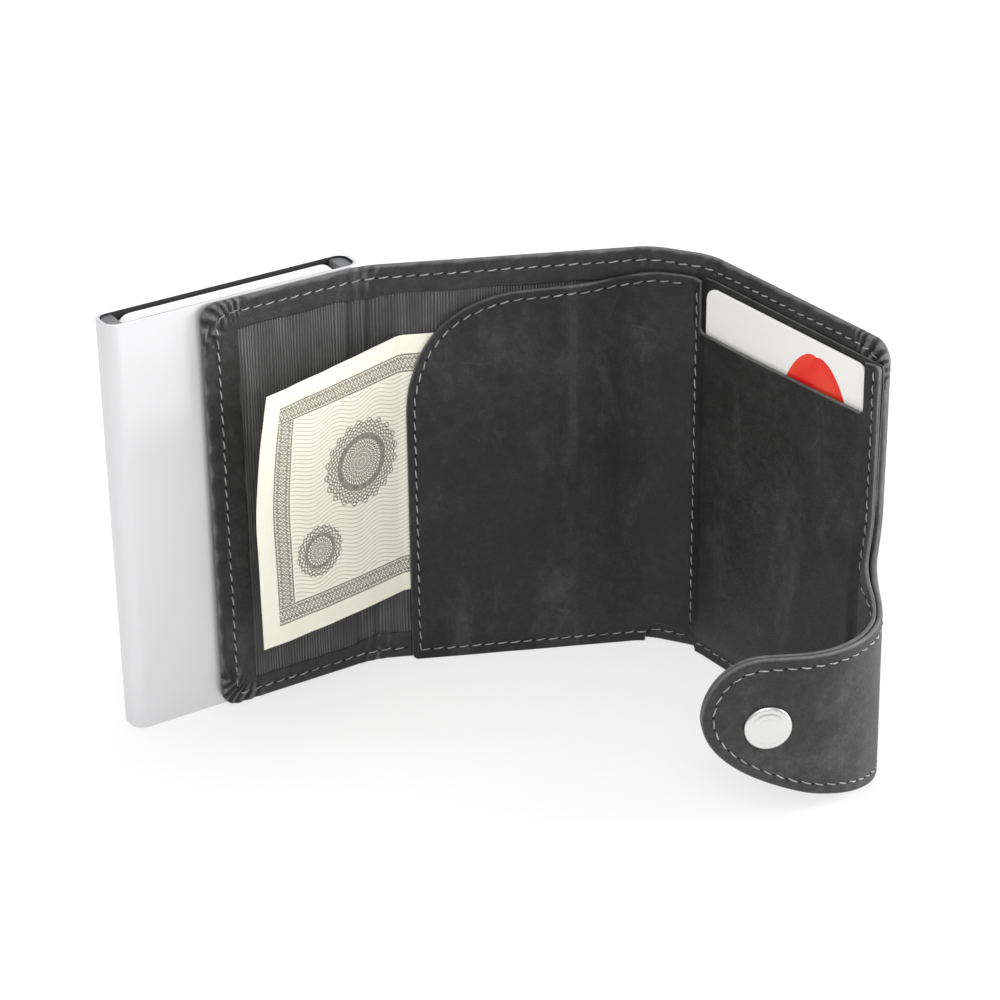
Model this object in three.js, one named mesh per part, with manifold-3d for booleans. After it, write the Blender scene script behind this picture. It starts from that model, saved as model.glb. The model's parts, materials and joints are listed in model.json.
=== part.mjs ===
// A trifold leather wallet with an aluminium card case, standing half open on its lower edges.
// Millimetres, +Z up. The card case and the left panel lie along X, with the case behind (+Y).
// Every fold turns towards the inner side (-Y), about an axis that lies in front of the leather.
import * as THREE from 'three';
import { mergeVertices } from 'three/addons/utils/BufferGeometryUtils.js';
import Module from 'manifold-3d';

// Driving dimensions: the leather shell
const leatherThickness = 1.8;        // turned edge, two skived layers
const leftPanelWidth = 40.5;
const middlePanelWidth = 65.3;
const spineWidth = 13;
const rightPanelWidth = 59.4;
const leftCornerRadius = 3.8;
const rightCornerRadius = 5;
const hemTop = 7.1;
const hemBottom = 5.8;
const hemSide = 8.5;
const liningRecess = 0.7;
const liningThickness = 0.3;
const layerGap = 0.15;               // between two leather or cloth layers
const panelGap = 0.3;                // between neighbouring panels when laid flat
const liningGap = 0.3;

// Driving dimensions: the folds (depth of each fold axis in front of the leather, angle at rest)
const leftFoldDepth = 1.2;
const spineFoldDepth = 1.6;
const strapFoldDepth = 1;
const leftFoldAngle = THREE.MathUtils.degToRad(23.6);
const spineFoldAngle = THREE.MathUtils.degToRad(31.3);
const strapFoldAngle = THREE.MathUtils.degToRad(60);

// Driving dimensions: the inner leather and the card pocket
const innerLeatherThickness = 1.3;
const innerLeatherStandOff = 0.3;
const innerLeatherStart = 8.4;
const innerLeatherTop = 95;
const innerShoulderRadius = 25;
const innerCornerRadius = 1.6;
const spineLeatherTop = 96;
const reliefHeight = 4.9;
const backingThickness = 0.6;
const backingTop = 97.6;
const backingFoot = 3;
const pocketFrontThickness = 1.2;
const pocketEdgeHeight = 84.6;
const pocketSideClearance = 0.35;    // between the pocket's card and the strip beside it
const pocketFrontSetback = 2.1;      // keeps the thick pocket front clear of the spine fold

// Driving dimensions: plastic cards (bank card format) and the banknote
const cardWidth = 54;
const cardHeight = 85.6;
const cardThickness = 0.76;
const cardCornerRadius = 3.18;
const pocketCardTop = 96;
const pocketCardInset = 1.1;
const noteHeight = 66.3;
const noteThickness = 0.2;
const noteFoot = 18.8;
const noteLeftReach = 34.3;          // past the left fold, along the left panel
const noteStandOff = 10.5;           // of its free end, in front of the left panel
const noteRightReach = 46;           // inside the compartment
const noteBendSetback = 0.9;

// Driving dimensions: the strap and its snap
const strapHeight = 36.4;
const strapFoot = 5.2;
const strapRootFoot = 1.2;
const strapRootLength = 4.9;
const strapNeckLength = 20.1;
const strapTipLength = 34.1;
const strapFlareHeight = 9;
// The tip's two curves as shares of the tip's length and the strap's height:
// start, two handles and end of the lower curve, then two handles and end of the upper one.
const tipCurveShares = [
  [0.17, 0.016], [0.478, 0.082], [0.977, 0.255], [1, 0.6], [1, 0.79], [0.85, 1], [0.59, 1],
];
const strapOuterThickness = 1.25;
const strapLiningThickness = 1.05;
const strapStandOff = 0.3;
const snapOffset = 19.5;
const snapHeight = 24.8;
const studOffset = 13.6;             // meets the snap when the wallet is wrapped shut
const snapCapRadius = 5.3;
const snapCapDome = 1.3;
const snapRimHeight = 0.5;
const snapBarrelRadius = 1.5;
const snapHoleClearance = 0.3;
const snapSocketRadius = 5.4;
const snapSocketThickness = 1.7;
const snapSocketBore = 3.1;
const snapSocketDepth = 1.4;
const snapStudBaseRadius = 5;
const snapStudBaseThickness = 0.5;
const snapStudRadius = 2.4;
const snapStudNeckRadius = 2;
const snapStudHeight = 1.8;
const snapPostRadius = 3.8;
const snapPostThickness = 0.3;
const snapClearance = 0.1;

// Driving dimensions: the aluminium card case
const caseThickness = 8.2;
const caseWall = 0.9;
const caseCornerRadius = 3.2;
const caseOverhang = 1.3;            // how far the case passes the left fold
const padThickness = 0.3;
const padGap = 0.05;
const padInset = 5;
const caseFit = 0.1;                 // base, guides and spring in the tube
const baseHeight = 15.8;
const baseSlotWidth = 4.4;
const baseSlotEndWall = 3.2;
const caseMouthDepth = 0.4;          // from the cards' top edge to the case's rim
const shellOverCase = 0.1;           // how much taller the leather is than the case
const guideWidth = 3.5;
const guideTopSetback = 0.5;
const guideCardClearance = 0.3;
const guideFootGap = 0.3;
const feltThickness = 0.6;
const feltWidth = 50;
const feltHeight = 81.5;
const feltFoot = 20;
const springThickness = 0.3;
const springBow = 1.2;
const springWidth = 18;
const springHeight = 60;
const springFoot = 20;
const cardPitch = 0.9;
const stackSetForward = 0.4;         // the cards stand this much nearer to the leather than to the spring
const cardLift = 0.3;                // between a card and the lever below it

// Driving dimensions: the eject lever
const leverPivotInset = 7.5;
const leverPivotHeight = 5.5;
const leverHubRadius = 3;
const leverPinRadius = 1;
const leverBoreClearance = 0.1;
const leverReach = 44;
const leverNoseStep = 7;
const leverUnderside = 1.2;
const leverSideClearance = 0.3;
const leverPinSetback = 0.15;

const cutOverrun = 1;
const caseCardCount = 4;
const arcSteps = 6;
const roundSteps = 24;

// Worked out from the driving dimensions
const halfPanelGap = panelGap / 2;
const caseCardFoot = baseHeight + 2 * cardLift;
const caseHeight = caseCardFoot + cardHeight + caseMouthDepth;
const caseWidth = cardWidth + 2 * (guideCardClearance + guideWidth + caseFit + caseWall);
const walletHeight = caseHeight + shellOverCase;
const caseFront = leatherThickness + 2 * padGap + padThickness;
const caseBack = caseFront + caseThickness;
const caseMiddle = (caseFront + caseBack) / 2;
const stackMiddle = caseMiddle - stackSetForward;
const caseRight = caseOverhang;
const caseLeft = caseRight - caseWidth;
const caseCentreX = (caseLeft + caseRight) / 2;
const cavityWidth = caseWidth - 2 * caseWall;
const cavityThickness = caseThickness - 2 * caseWall;
const cavityRadius = caseCornerRadius - caseWall;
const backingBack = -layerGap;
const backingFront = backingBack - backingThickness;
const pocketCardFront = backingFront - layerGap - cardThickness;
const pocketFrontFace = pocketCardFront - layerGap - pocketFrontThickness;
const innerLeatherFace = -innerLeatherStandOff - innerLeatherThickness;
const strapInnerFace = -strapStandOff;
const strapLayerFace = strapInnerFace + strapLiningThickness + snapClearance;
const strapOuterFace = strapLayerFace + strapOuterThickness;
const snapHoleRadius = snapBarrelRadius + snapHoleClearance;
const strapTop = strapFoot + strapHeight;
const leverPivotX = caseRight - caseWall - leverPivotInset;

const wasm = await Module();
wasm.setup();

// Solids, joins and cuts

function toSolid(geometry) {
  const bare = geometry.clone();
  bare.deleteAttribute('normal');
  bare.deleteAttribute('uv');
  const merged = mergeVertices(bare);
  const vertProperties = new Float32Array(merged.attributes.position.array);
  const triVerts = new Uint32Array(merged.index.array);
  return new wasm.Manifold(new wasm.Mesh({ numProp: 3, vertProperties, triVerts }));
}

function toGeometry(solid) {
  const mesh = solid.getMesh();
  const geometry = new THREE.BufferGeometry();
  geometry.setAttribute('position', new THREE.BufferAttribute(mesh.vertProperties, 3));
  geometry.setIndex(new THREE.BufferAttribute(mesh.triVerts, 1));
  geometry.computeVertexNormals();
  return geometry;
}

function cut(geometry, ...tools) {
  return toGeometry(tools.reduce((solid, tool) => solid.subtract(toSolid(tool)), toSolid(geometry)));
}

function join(geometry, ...others) {
  return toGeometry(others.reduce((solid, other) => solid.add(toSolid(other)), toSolid(geometry)));
}

// A flat outline in X and Z, given its thickness along Y from yLow upwards.
function plate(outline, yLow, thickness) {
  const geometry = new THREE.ExtrudeGeometry(outline, {
    depth: thickness, bevelEnabled: false, curveSegments: arcSteps,
  });
  geometry.rotateX(Math.PI / 2);
  geometry.translate(0, yLow + thickness, 0);
  return geometry;
}

// A flat outline in X and Y, raised along Z from zLow.
function column(outline, zLow, height) {
  const geometry = new THREE.ExtrudeGeometry(outline, {
    depth: height, bevelEnabled: false, curveSegments: arcSteps,
  });
  geometry.translate(0, 0, zLow);
  return geometry;
}

// A closed outline with its own radius at each corner: lower left, lower right, upper right, upper left.
function roundedOutline(x0, y0, x1, y1, [lowerLeft, lowerRight, upperRight, upperLeft]) {
  const outline = new THREE.Shape();
  const corner = (x, y, radius, startTurns) => {
    if (radius > 0) {
      outline.absarc(x, y, radius, startTurns * Math.PI / 2, (startTurns + 1) * Math.PI / 2, false);
    } else {
      outline.lineTo(x, y);
    }
  };
  outline.moveTo(x0, y0 + lowerLeft);
  corner(x0 + lowerLeft, y0 + lowerLeft, lowerLeft, 2);
  corner(x1 - lowerRight, y0 + lowerRight, lowerRight, 3);
  corner(x1 - upperRight, y1 - upperRight, upperRight, 0);
  corner(x0 + upperLeft, y1 - upperLeft, upperLeft, 1);
  return outline;
}

function evenOutline(x0, y0, x1, y1, radius = 0) {
  return roundedOutline(x0, y0, x1, y1, [radius, radius, radius, radius]);
}

// A turned shape whose axis runs along Y through x and z; points are radius and y.
function turned(points, x, z) {
  const geometry = new THREE.LatheGeometry(points.map(([r, y]) => new THREE.Vector2(r, y)), roundSteps);
  geometry.translate(x, 0, z);
  return geometry;
}

function rod(radius, yLow, yHigh, x, z) {
  return turned([[0, yLow], [radius, yLow], [radius, yHigh], [0, yHigh]], x, z);
}

// Materials

function finish(color, roughness, metalness = 0) {
  return new THREE.MeshStandardMaterial({ color, roughness, metalness });
}
const shellLeather = finish(0x38373a, 0.6);
const strapLeather = finish(0x4a494b, 0.6);
const innerLeather = finish(0x333234, 0.6);
const liningCloth = finish(0x29292b, 0.8);
const caseAluminium = finish(0xe4e5e7, 0.35, 0.8);
const snapSteel = finish(0xd0d0d2, 0.25, 1);
const casePlastic = finish(0x3a3b3e, 0.5);
const feltCloth = finish(0x55565a, 0.95);
const springSteel = finish(0xb8babd, 0.3, 1);
const padAdhesive = finish(0xbfbfba, 0.7);
const cardPlastic = finish(0xf1f0ee, 0.35);
const notePaper = finish(0xf2f1e2, 0.85);

// The wallet's frame: one group per rigid panel, each turned about the fold before it

const wallet = new THREE.Group();

function addPiece(group, name, geometry, material) {
  const mesh = new THREE.Mesh(geometry, material);
  mesh.name = name;
  group.add(mesh);
}

function foldGroup(parent, x, depth, angle) {
  const axis = new THREE.Group();
  axis.position.set(x, -depth, 0);
  axis.rotation.z = -angle;
  parent.add(axis);
  const panel = new THREE.Group();
  panel.position.set(0, depth, 0);
  axis.add(panel);
  return panel;
}

const left = new THREE.Group();
wallet.add(left);
const middle = foldGroup(left, 0, leftFoldDepth, leftFoldAngle);
const spine = foldGroup(middle, middlePanelWidth, spineFoldDepth, spineFoldAngle);
const right = foldGroup(spine, spineWidth, spineFoldDepth, spineFoldAngle);
const strapRootEnd = rightPanelWidth + strapRootLength;
const neck = foldGroup(right, strapRootEnd, strapFoldDepth, strapFoldAngle);
const tip = foldGroup(neck, strapNeckLength, strapFoldDepth, strapFoldAngle);

// Shell leather and lining

function recess(x0, x1) {
  const hollow = evenOutline(x0, hemBottom, x1, walletHeight - hemTop);
  return plate(hollow, -cutOverrun, liningRecess + cutOverrun);
}

function lining(x0, x1) {
  const cloth = evenOutline(x0, hemBottom + liningGap, x1, walletHeight - hemTop - liningGap);
  return plate(cloth, liningRecess - layerGap - liningThickness, liningThickness);
}

function leftShell() {
  const outline = roundedOutline(
    -leftPanelWidth, 0, -halfPanelGap, walletHeight, [leftCornerRadius, 0, 0, leftCornerRadius]);
  return cut(plate(outline, 0, leatherThickness), recess(hemSide - leftPanelWidth, cutOverrun));
}

function middleShell() {
  const outline = evenOutline(halfPanelGap, 0, middlePanelWidth - halfPanelGap, walletHeight);
  const postPocket = rod(
    snapPostRadius + snapHoleClearance, 0, liningRecess + snapPostThickness + 2 * snapClearance,
    studOffset, snapHeight);
  const postHole = rod(snapHoleRadius, 0, leatherThickness + cutOverrun, studOffset, snapHeight);
  return cut(
    plate(outline, 0, leatherThickness),
    recess(-cutOverrun, middlePanelWidth + cutOverrun), postPocket, postHole);
}

function rightShell() {
  const outline = new THREE.Shape();
  outline.moveTo(halfPanelGap, 0);
  outline.lineTo(rightPanelWidth - strapRootLength, 0);
  outline.quadraticCurveTo(rightPanelWidth, 0, strapRootEnd - halfPanelGap, strapRootFoot);
  outline.lineTo(strapRootEnd - halfPanelGap, strapTop);
  outline.quadraticCurveTo(rightPanelWidth, strapTop, rightPanelWidth, strapTop + strapFlareHeight);
  outline.lineTo(rightPanelWidth, walletHeight - rightCornerRadius);
  outline.absarc(
    rightPanelWidth - rightCornerRadius, walletHeight - rightCornerRadius, rightCornerRadius,
    0, Math.PI / 2, false);
  outline.lineTo(halfPanelGap, walletHeight);
  return plate(outline, 0, leatherThickness);
}

addPiece(left, 'shell_panel_left', leftShell(), shellLeather);
addPiece(left, 'lining_left', lining(hemSide + liningGap - leftPanelWidth, -halfPanelGap), liningCloth);
addPiece(middle, 'shell_panel_middle', middleShell(), shellLeather);
addPiece(middle, 'lining_middle', lining(halfPanelGap, middlePanelWidth - halfPanelGap), liningCloth);
addPiece(
  spine, 'shell_panel_spine',
  plate(evenOutline(halfPanelGap, 0, spineWidth - halfPanelGap, walletHeight), 0, leatherThickness),
  shellLeather);
addPiece(right, 'shell_panel_right', rightShell(), shellLeather);

// The leather that bends at a fold: a sector about the fold's axis, between its two panels.
function foldStrip(x, depth, angle, yLow, yHigh, zLow, height) {
  const outline = new THREE.Shape();
  const quarter = Math.PI / 2;
  outline.absarc(x, -depth, depth + yHigh, quarter, quarter - angle, true);
  outline.absarc(x, -depth, depth + yLow, quarter - angle, quarter, false);
  return column(outline, zLow, height);
}

function shellFold(x, depth, angle) {
  return foldStrip(x, depth, angle, 0, leatherThickness, 0, walletHeight);
}

function strapFold(x, zLow) {
  return foldStrip(
    x, strapFoldDepth, strapFoldAngle, strapInnerFace, strapOuterFace, zLow, strapTop - zLow);
}

addPiece(left, 'shell_fold_left', shellFold(0, leftFoldDepth, leftFoldAngle), shellLeather);
addPiece(
  middle, 'shell_fold_spine', shellFold(middlePanelWidth, spineFoldDepth, spineFoldAngle), shellLeather);
addPiece(
  spine, 'shell_fold_right', shellFold(spineWidth, spineFoldDepth, spineFoldAngle), shellLeather);
addPiece(right, 'strap_fold_root', strapFold(strapRootEnd, strapRootFoot), strapLeather);
addPiece(neck, 'strap_fold_tip', strapFold(strapNeckLength, strapFoot), strapLeather);

// Inner leather: the front of the banknote compartment and of the card pocket

function innerMiddle() {
  const outline = roundedOutline(
    innerLeatherStart, 0, middlePanelWidth - halfPanelGap, innerLeatherTop,
    [innerCornerRadius, 0, 0, innerShoulderRadius]);
  return plate(outline, innerLeatherFace, innerLeatherThickness);
}

function innerSpine() {
  const outline = evenOutline(halfPanelGap, reliefHeight, spineWidth - halfPanelGap, spineLeatherTop);
  return plate(outline, innerLeatherFace, innerLeatherThickness);
}

// Below the pocket's edge the front is one piece; beside the card a narrow strip goes on to the top.
function pocketFront() {
  const outline = evenOutline(pocketFrontSetback, 0, rightPanelWidth - halfPanelGap, pocketEdgeHeight);
  return plate(outline, pocketFrontFace, pocketFrontThickness);
}

function pocketSide() {
  const x1 = rightPanelWidth - halfPanelGap;
  const x0 = pocketCardInset + cardWidth + pocketSideClearance;
  const outline = evenOutline(x0, pocketEdgeHeight + liningGap, x1, backingTop);
  return plate(outline, pocketFrontFace, pocketFrontThickness);
}

addPiece(middle, 'inner_leather_middle', innerMiddle(), innerLeather);
addPiece(spine, 'inner_leather_spine', innerSpine(), innerLeather);
addPiece(
  right, 'pocket_backing',
  plate(evenOutline(panelGap, backingFoot, rightPanelWidth - halfPanelGap, backingTop),
    backingFront, backingThickness),
  innerLeather);
addPiece(right, 'pocket_front', pocketFront(), innerLeather);
addPiece(right, 'pocket_side', pocketSide(), innerLeather);

// Plastic card in the pocket, and the banknote that stands out of its compartment

function cardPlate(x0, z0, yLow) {
  return plate(evenOutline(x0, z0, x0 + cardWidth, z0 + cardHeight, cardCornerRadius), yLow, cardThickness);
}

addPiece(
  right, 'pocket_card', cardPlate(pocketCardInset, pocketCardTop - cardHeight, pocketCardFront),
  cardPlastic);

// The note lies flat in the compartment, bends at its mouth and stands off the left panel.
function banknote() {
  left.updateMatrixWorld(true);
  const inMiddle = (x, y) => {
    const point = middle.localToWorld(new THREE.Vector3(x, y, 0));
    return new THREE.Vector2(point.x, point.y);
  };
  const bend = innerLeatherStart - noteBendSetback;
  const hidden = innerLeatherStart + noteRightReach;
  return column(new THREE.Shape([
    new THREE.Vector2(-noteLeftReach, -noteStandOff - noteThickness),
    inMiddle(bend, -noteThickness), inMiddle(hidden, -noteThickness),
    inMiddle(hidden, 0), inMiddle(bend, 0),
    new THREE.Vector2(-noteLeftReach, -noteStandOff),
  ]), noteFoot, noteHeight);
}

addPiece(left, 'banknote', banknote(), notePaper);

// Strap: neck and tip, each an outer leather and a lining leather

function tipOutline() {
  const [start, lowerA, lowerB, nose, upperA, upperB, end] = tipCurveShares.map(
    ([along, up]) => [along * strapTipLength, strapFoot + up * strapHeight]);
  const outline = new THREE.Shape();
  outline.moveTo(halfPanelGap, strapFoot);
  outline.lineTo(...start);
  outline.bezierCurveTo(...lowerA, ...lowerB, ...nose);
  outline.bezierCurveTo(...upperA, ...upperB, ...end);
  outline.lineTo(halfPanelGap, strapTop);
  return outline;
}

// The neck's foot rises from the right panel's to the tip's.
function neckOutline() {
  const outline = new THREE.Shape();
  outline.moveTo(halfPanelGap, strapRootFoot);
  outline.lineTo(strapNeckLength - halfPanelGap, strapFoot);
  outline.lineTo(strapNeckLength - halfPanelGap, strapTop);
  outline.lineTo(halfPanelGap, strapTop);
  return outline;
}

function strapHole(x) {
  return rod(snapHoleRadius, strapInnerFace - cutOverrun, strapOuterFace + cutOverrun, x, snapHeight);
}

addPiece(neck, 'strap_neck_leather', plate(neckOutline(), strapLayerFace, strapOuterThickness), strapLeather);
addPiece(neck, 'strap_neck_lining', plate(neckOutline(), strapInnerFace, strapLiningThickness), strapLeather);
addPiece(
  tip, 'strap_tip_leather',
  cut(plate(tipOutline(), strapLayerFace, strapOuterThickness), strapHole(snapOffset)), strapLeather);
addPiece(
  tip, 'strap_tip_lining',
  cut(plate(tipOutline(), strapInnerFace, strapLiningThickness), strapHole(snapOffset)), strapLeather);

// Snap: cap and socket on the strap, stud and post on the middle panel

function snapCap() {
  const base = strapOuterFace + snapClearance;
  const rim = base + snapRimHeight;
  const crown = base + snapCapDome;
  const dome = Array.from({ length: arcSteps }, (_, i) => {
    const turn = (i + 1) / arcSteps * Math.PI / 2;
    return [snapCapRadius * Math.cos(turn), rim + (crown - rim) * Math.sin(turn)];
  });
  dome[arcSteps - 1][0] = 0;
  return turned([
    [0, strapInnerFace], [snapBarrelRadius, strapInnerFace], [snapBarrelRadius, base],
    [snapCapRadius, base], [snapCapRadius, rim], ...dome,
  ], snapOffset, snapHeight);
}

function snapSocket() {
  const back = strapInnerFace - snapClearance;
  const mouth = back - snapSocketThickness;
  return turned([
    [0, mouth + snapSocketDepth], [snapSocketBore, mouth + snapSocketDepth], [snapSocketBore, mouth],
    [snapSocketRadius, mouth], [snapSocketRadius, back], [0, back],
  ], snapOffset, snapHeight);
}

function snapStud() {
  const foot = leatherThickness + snapClearance;
  const top = foot + snapStudHeight;
  const collar = foot + snapStudBaseThickness;
  const shoulder = (collar + top) / 2;
  return turned([
    [0, foot], [snapStudBaseRadius, foot], [snapStudBaseRadius, collar], [snapStudNeckRadius, collar],
    [snapStudRadius, shoulder], [snapStudNeckRadius, top], [0, top],
  ], studOffset, snapHeight);
}

function snapPost() {
  const flange = liningRecess + snapClearance;
  const seat = flange + snapPostThickness;
  return turned([
    [0, flange], [snapPostRadius, flange], [snapPostRadius, seat], [snapBarrelRadius, seat],
    [snapBarrelRadius, leatherThickness], [0, leatherThickness],
  ], studOffset, snapHeight);
}

addPiece(tip, 'snap_cap', snapCap(), snapSteel);
addPiece(tip, 'snap_socket', snapSocket(), snapSteel);
addPiece(middle, 'snap_stud', snapStud(), snapSteel);
addPiece(middle, 'snap_post', snapPost(), snapSteel);

// Aluminium case: tube, base, guides, felt, spring and the pad that holds it to the leather

function caseOutline(width, thickness, radius) {
  return evenOutline(
    caseCentreX - width / 2, caseMiddle - thickness / 2,
    caseCentreX + width / 2, caseMiddle + thickness / 2, radius);
}

function caseTube() {
  const wall = caseOutline(caseWidth, caseThickness, caseCornerRadius);
  wall.holes.push(caseOutline(cavityWidth, cavityThickness, cavityRadius));
  return column(wall, 0, caseHeight);
}

function caseBase() {
  const plug = caseOutline(cavityWidth - 2 * caseFit, cavityThickness - 2 * caseFit, cavityRadius - caseFit);
  const slot = evenOutline(
    caseLeft + caseWall + baseSlotEndWall, stackMiddle - baseSlotWidth / 2,
    caseRight - caseWall - baseSlotEndWall, stackMiddle + baseSlotWidth / 2);
  plug.holes.push(slot);
  const pinHole = rod(
    leverPinRadius + leverBoreClearance, caseFront, caseBack, leverPivotX, leverPivotHeight);
  return cut(column(plug, 0, baseHeight), pinHole);
}

// A guide fills one end of the tube beside the cards: side is -1 at the left and 1 at the right.
function caseGuide(side) {
  const filling = caseOutline(cavityWidth - 2 * caseFit, cavityThickness - 2 * caseFit, cavityRadius - caseFit);
  const zLow = baseHeight + guideFootGap;
  const full = column(filling, zLow, caseHeight - guideTopSetback - zLow);
  const faceX = caseCentreX + side * (cardWidth / 2 + guideCardClearance);
  const farX = faceX - side * caseWidth;
  const away = column(
    evenOutline(Math.min(faceX, farX), caseFront, Math.max(faceX, farX), caseBack), 0, caseHeight);
  return cut(full, away);
}

function springLeaf() {
  const seat = caseMiddle + cavityThickness / 2 - caseFit;
  const middleZ = springFoot + springHeight / 2;
  const profile = new THREE.Shape();
  profile.moveTo(seat, springFoot);
  profile.quadraticCurveTo(seat - 2 * springBow, middleZ, seat, springFoot + springHeight);
  profile.lineTo(seat - springThickness, springFoot + springHeight);
  profile.quadraticCurveTo(
    seat - springThickness - 2 * springBow, middleZ, seat - springThickness, springFoot);
  const geometry = new THREE.ExtrudeGeometry(profile, {
    depth: springWidth, bevelEnabled: false, curveSegments: 2 * arcSteps,
  });
  geometry.rotateY(Math.PI / 2);
  geometry.rotateX(Math.PI / 2);
  return geometry.translate(caseCentreX - springWidth / 2, 0, 0);
}

addPiece(left, 'case_tube', caseTube(), caseAluminium);
addPiece(left, 'case_base', caseBase(), casePlastic);
addPiece(left, 'case_guide_left', caseGuide(-1), casePlastic);
addPiece(left, 'case_guide_right', caseGuide(1), casePlastic);
addPiece(
  left, 'case_felt',
  plate(
    evenOutline(
      caseCentreX - feltWidth / 2, feltFoot, caseCentreX + feltWidth / 2, feltFoot + feltHeight),
    caseFront + caseWall + caseFit / 2, feltThickness),
  feltCloth);
addPiece(left, 'case_spring', springLeaf(), springSteel);
addPiece(
  left, 'adhesive_pad',
  plate(
    evenOutline(
      padInset - leftPanelWidth, padInset, -padInset, walletHeight - padInset, padInset),
    leatherThickness + padGap, padThickness),
  padAdhesive);

// Cards in the case, and the stepped lever below them, with one step under each card

const cardLayer = (index) => stackMiddle + (index - (caseCardCount - 1) / 2) * cardPitch;
const noseReach = (index) => leverReach - index * leverNoseStep;

function leverLane(index) {
  const nose = leverPivotX - noseReach(index);
  const noseTop = caseCardFoot - cardLift;
  const heel = leverPivotHeight + leverHubRadius - cardLift;
  const farEnd = leverPivotX - leverReach - leverHubRadius;
  const lane = new THREE.Shape();
  lane.moveTo(leverPivotX, leverUnderside + leverHubRadius / 2);
  lane.lineTo(leverPivotX, heel);
  lane.lineTo(nose + leverNoseStep, heel);
  lane.lineTo(nose, noseTop);
  lane.lineTo(nose - leverHubRadius / 2, noseTop - leverHubRadius / 3);
  lane.lineTo(farEnd, leverPivotHeight - cardLift);
  lane.lineTo(farEnd, leverUnderside);
  lane.lineTo(leverPivotX - leverHubRadius, leverUnderside);
  return plate(lane, cardLayer(index) - cardPitch / 2, cardPitch);
}

function ejectLever() {
  const side = baseSlotWidth / 2 - leverSideClearance;
  const hub = rod(leverHubRadius, stackMiddle - side, stackMiddle + side, leverPivotX, leverPivotHeight);
  const bore = rod(
    leverPinRadius + leverBoreClearance, caseFront, caseBack, leverPivotX, leverPivotHeight);
  const lanes = Array.from({ length: caseCardCount }, (_, i) => leverLane(i));
  return cut(join(hub, ...lanes), bore);
}

addPiece(left, 'eject_lever', ejectLever(), casePlastic);
addPiece(
  left, 'lever_pin',
  rod(
    leverPinRadius, caseMiddle - cavityThickness / 2 + leverPinSetback,
    caseMiddle + cavityThickness / 2 - leverPinSetback, leverPivotX, leverPivotHeight),
  springSteel);
for (let i = 0; i < caseCardCount; i += 1) {
  addPiece(
    left, `case_card_${i + 1}`,
    cardPlate(caseCentreX - cardWidth / 2, caseCardFoot, cardLayer(i) - cardThickness / 2), cardPlastic);
}

// The origin is the middle of the wallet's footprint at rest, on the surface that it stands on.
const footprint = new THREE.Box3().setFromObject(wallet, true);
const centre = footprint.getCenter(new THREE.Vector3());
wallet.position.set(-centre.x, -centre.y, -footprint.min.z);

export default wallet;
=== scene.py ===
"""Looks of a trifold leather wallet with an aluminium card case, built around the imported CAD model.

The leathers are laid out on one flat pattern in millimetres: u runs along the leather from the left fold,
z runs up from the lower edge, and y is the depth, 0 on the hem's face and positive towards the outside.
"""

import json
import math

import bpy
import numpy as np
from mathutils import Matrix, Vector

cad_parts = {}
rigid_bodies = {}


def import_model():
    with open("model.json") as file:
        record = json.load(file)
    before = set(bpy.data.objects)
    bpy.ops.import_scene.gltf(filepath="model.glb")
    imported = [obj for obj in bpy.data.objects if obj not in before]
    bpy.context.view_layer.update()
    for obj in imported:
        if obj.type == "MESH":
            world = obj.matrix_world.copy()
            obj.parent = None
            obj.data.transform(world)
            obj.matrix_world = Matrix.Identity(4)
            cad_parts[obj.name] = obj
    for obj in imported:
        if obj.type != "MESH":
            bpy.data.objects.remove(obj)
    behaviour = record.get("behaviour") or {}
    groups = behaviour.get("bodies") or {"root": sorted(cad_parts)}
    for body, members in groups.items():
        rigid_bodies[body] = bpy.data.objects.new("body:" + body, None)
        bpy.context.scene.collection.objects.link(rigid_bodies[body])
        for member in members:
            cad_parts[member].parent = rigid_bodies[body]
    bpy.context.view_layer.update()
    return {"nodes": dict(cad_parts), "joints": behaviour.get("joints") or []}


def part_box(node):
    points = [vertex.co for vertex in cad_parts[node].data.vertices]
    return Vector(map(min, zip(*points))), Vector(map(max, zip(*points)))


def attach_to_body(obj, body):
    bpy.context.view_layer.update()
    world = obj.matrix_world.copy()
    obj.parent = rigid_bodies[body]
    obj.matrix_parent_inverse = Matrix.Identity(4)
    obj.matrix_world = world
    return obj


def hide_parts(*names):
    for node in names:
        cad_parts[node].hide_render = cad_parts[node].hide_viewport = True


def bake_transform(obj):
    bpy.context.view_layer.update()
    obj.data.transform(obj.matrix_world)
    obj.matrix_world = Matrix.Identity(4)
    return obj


bl_info = {
    "name": "Leather wallet with card case",
    "version": (1, 0, 0),
    "blender": (4, 5, 0),
    "location": "3D View > Sidebar > Wallet",
    "description": "Builds the leathers, stitching, cloth, metal and paper of the wallet",
    "category": "Object",
}

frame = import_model()
MM = 0.001

# The flat pattern, in millimetres
LEFT_EDGE, LEFT_FOLD, SPINE_FOLD, RIGHT_FOLD, RIGHT_EDGE = -40.5, 0.0, 65.3, 78.3, 137.7
ROOT_FOLD, TIP_FOLD, TIP_LENGTH = 142.6, 162.7, 34.1
TIP_END = TIP_FOLD + TIP_LENGTH
STRAP_MIDDLE = 152.65
ROOT_SPLIT = 136.5          # where the strap's bending leather takes over from the right panel
HEIGHT = 102.5
LEFT_CORNER, RIGHT_CORNER = 3.8, 5.0
FRONT_CORNER, WINDOW_CORNER, BACKING_CORNER = 1.6, 1.2, 1.2
THICK = 1.8
HEM_TOP, HEM_BOTTOM, HEM_SIDE = 7.1, 5.8, 8.5
RECESS = 0.7                # how far the lined area lies behind the hem
LINING_FACE, LINING_END = 0.3, 61
STRAP_LOW, STRAP_HIGH, FLARE = 5.2, 41.6, 9.0
STRAP_IN, STRAP_SPLIT, STRAP_OUT = -0.3, 0.8, 2.1
SPLIT_GAP = 0.1
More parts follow.
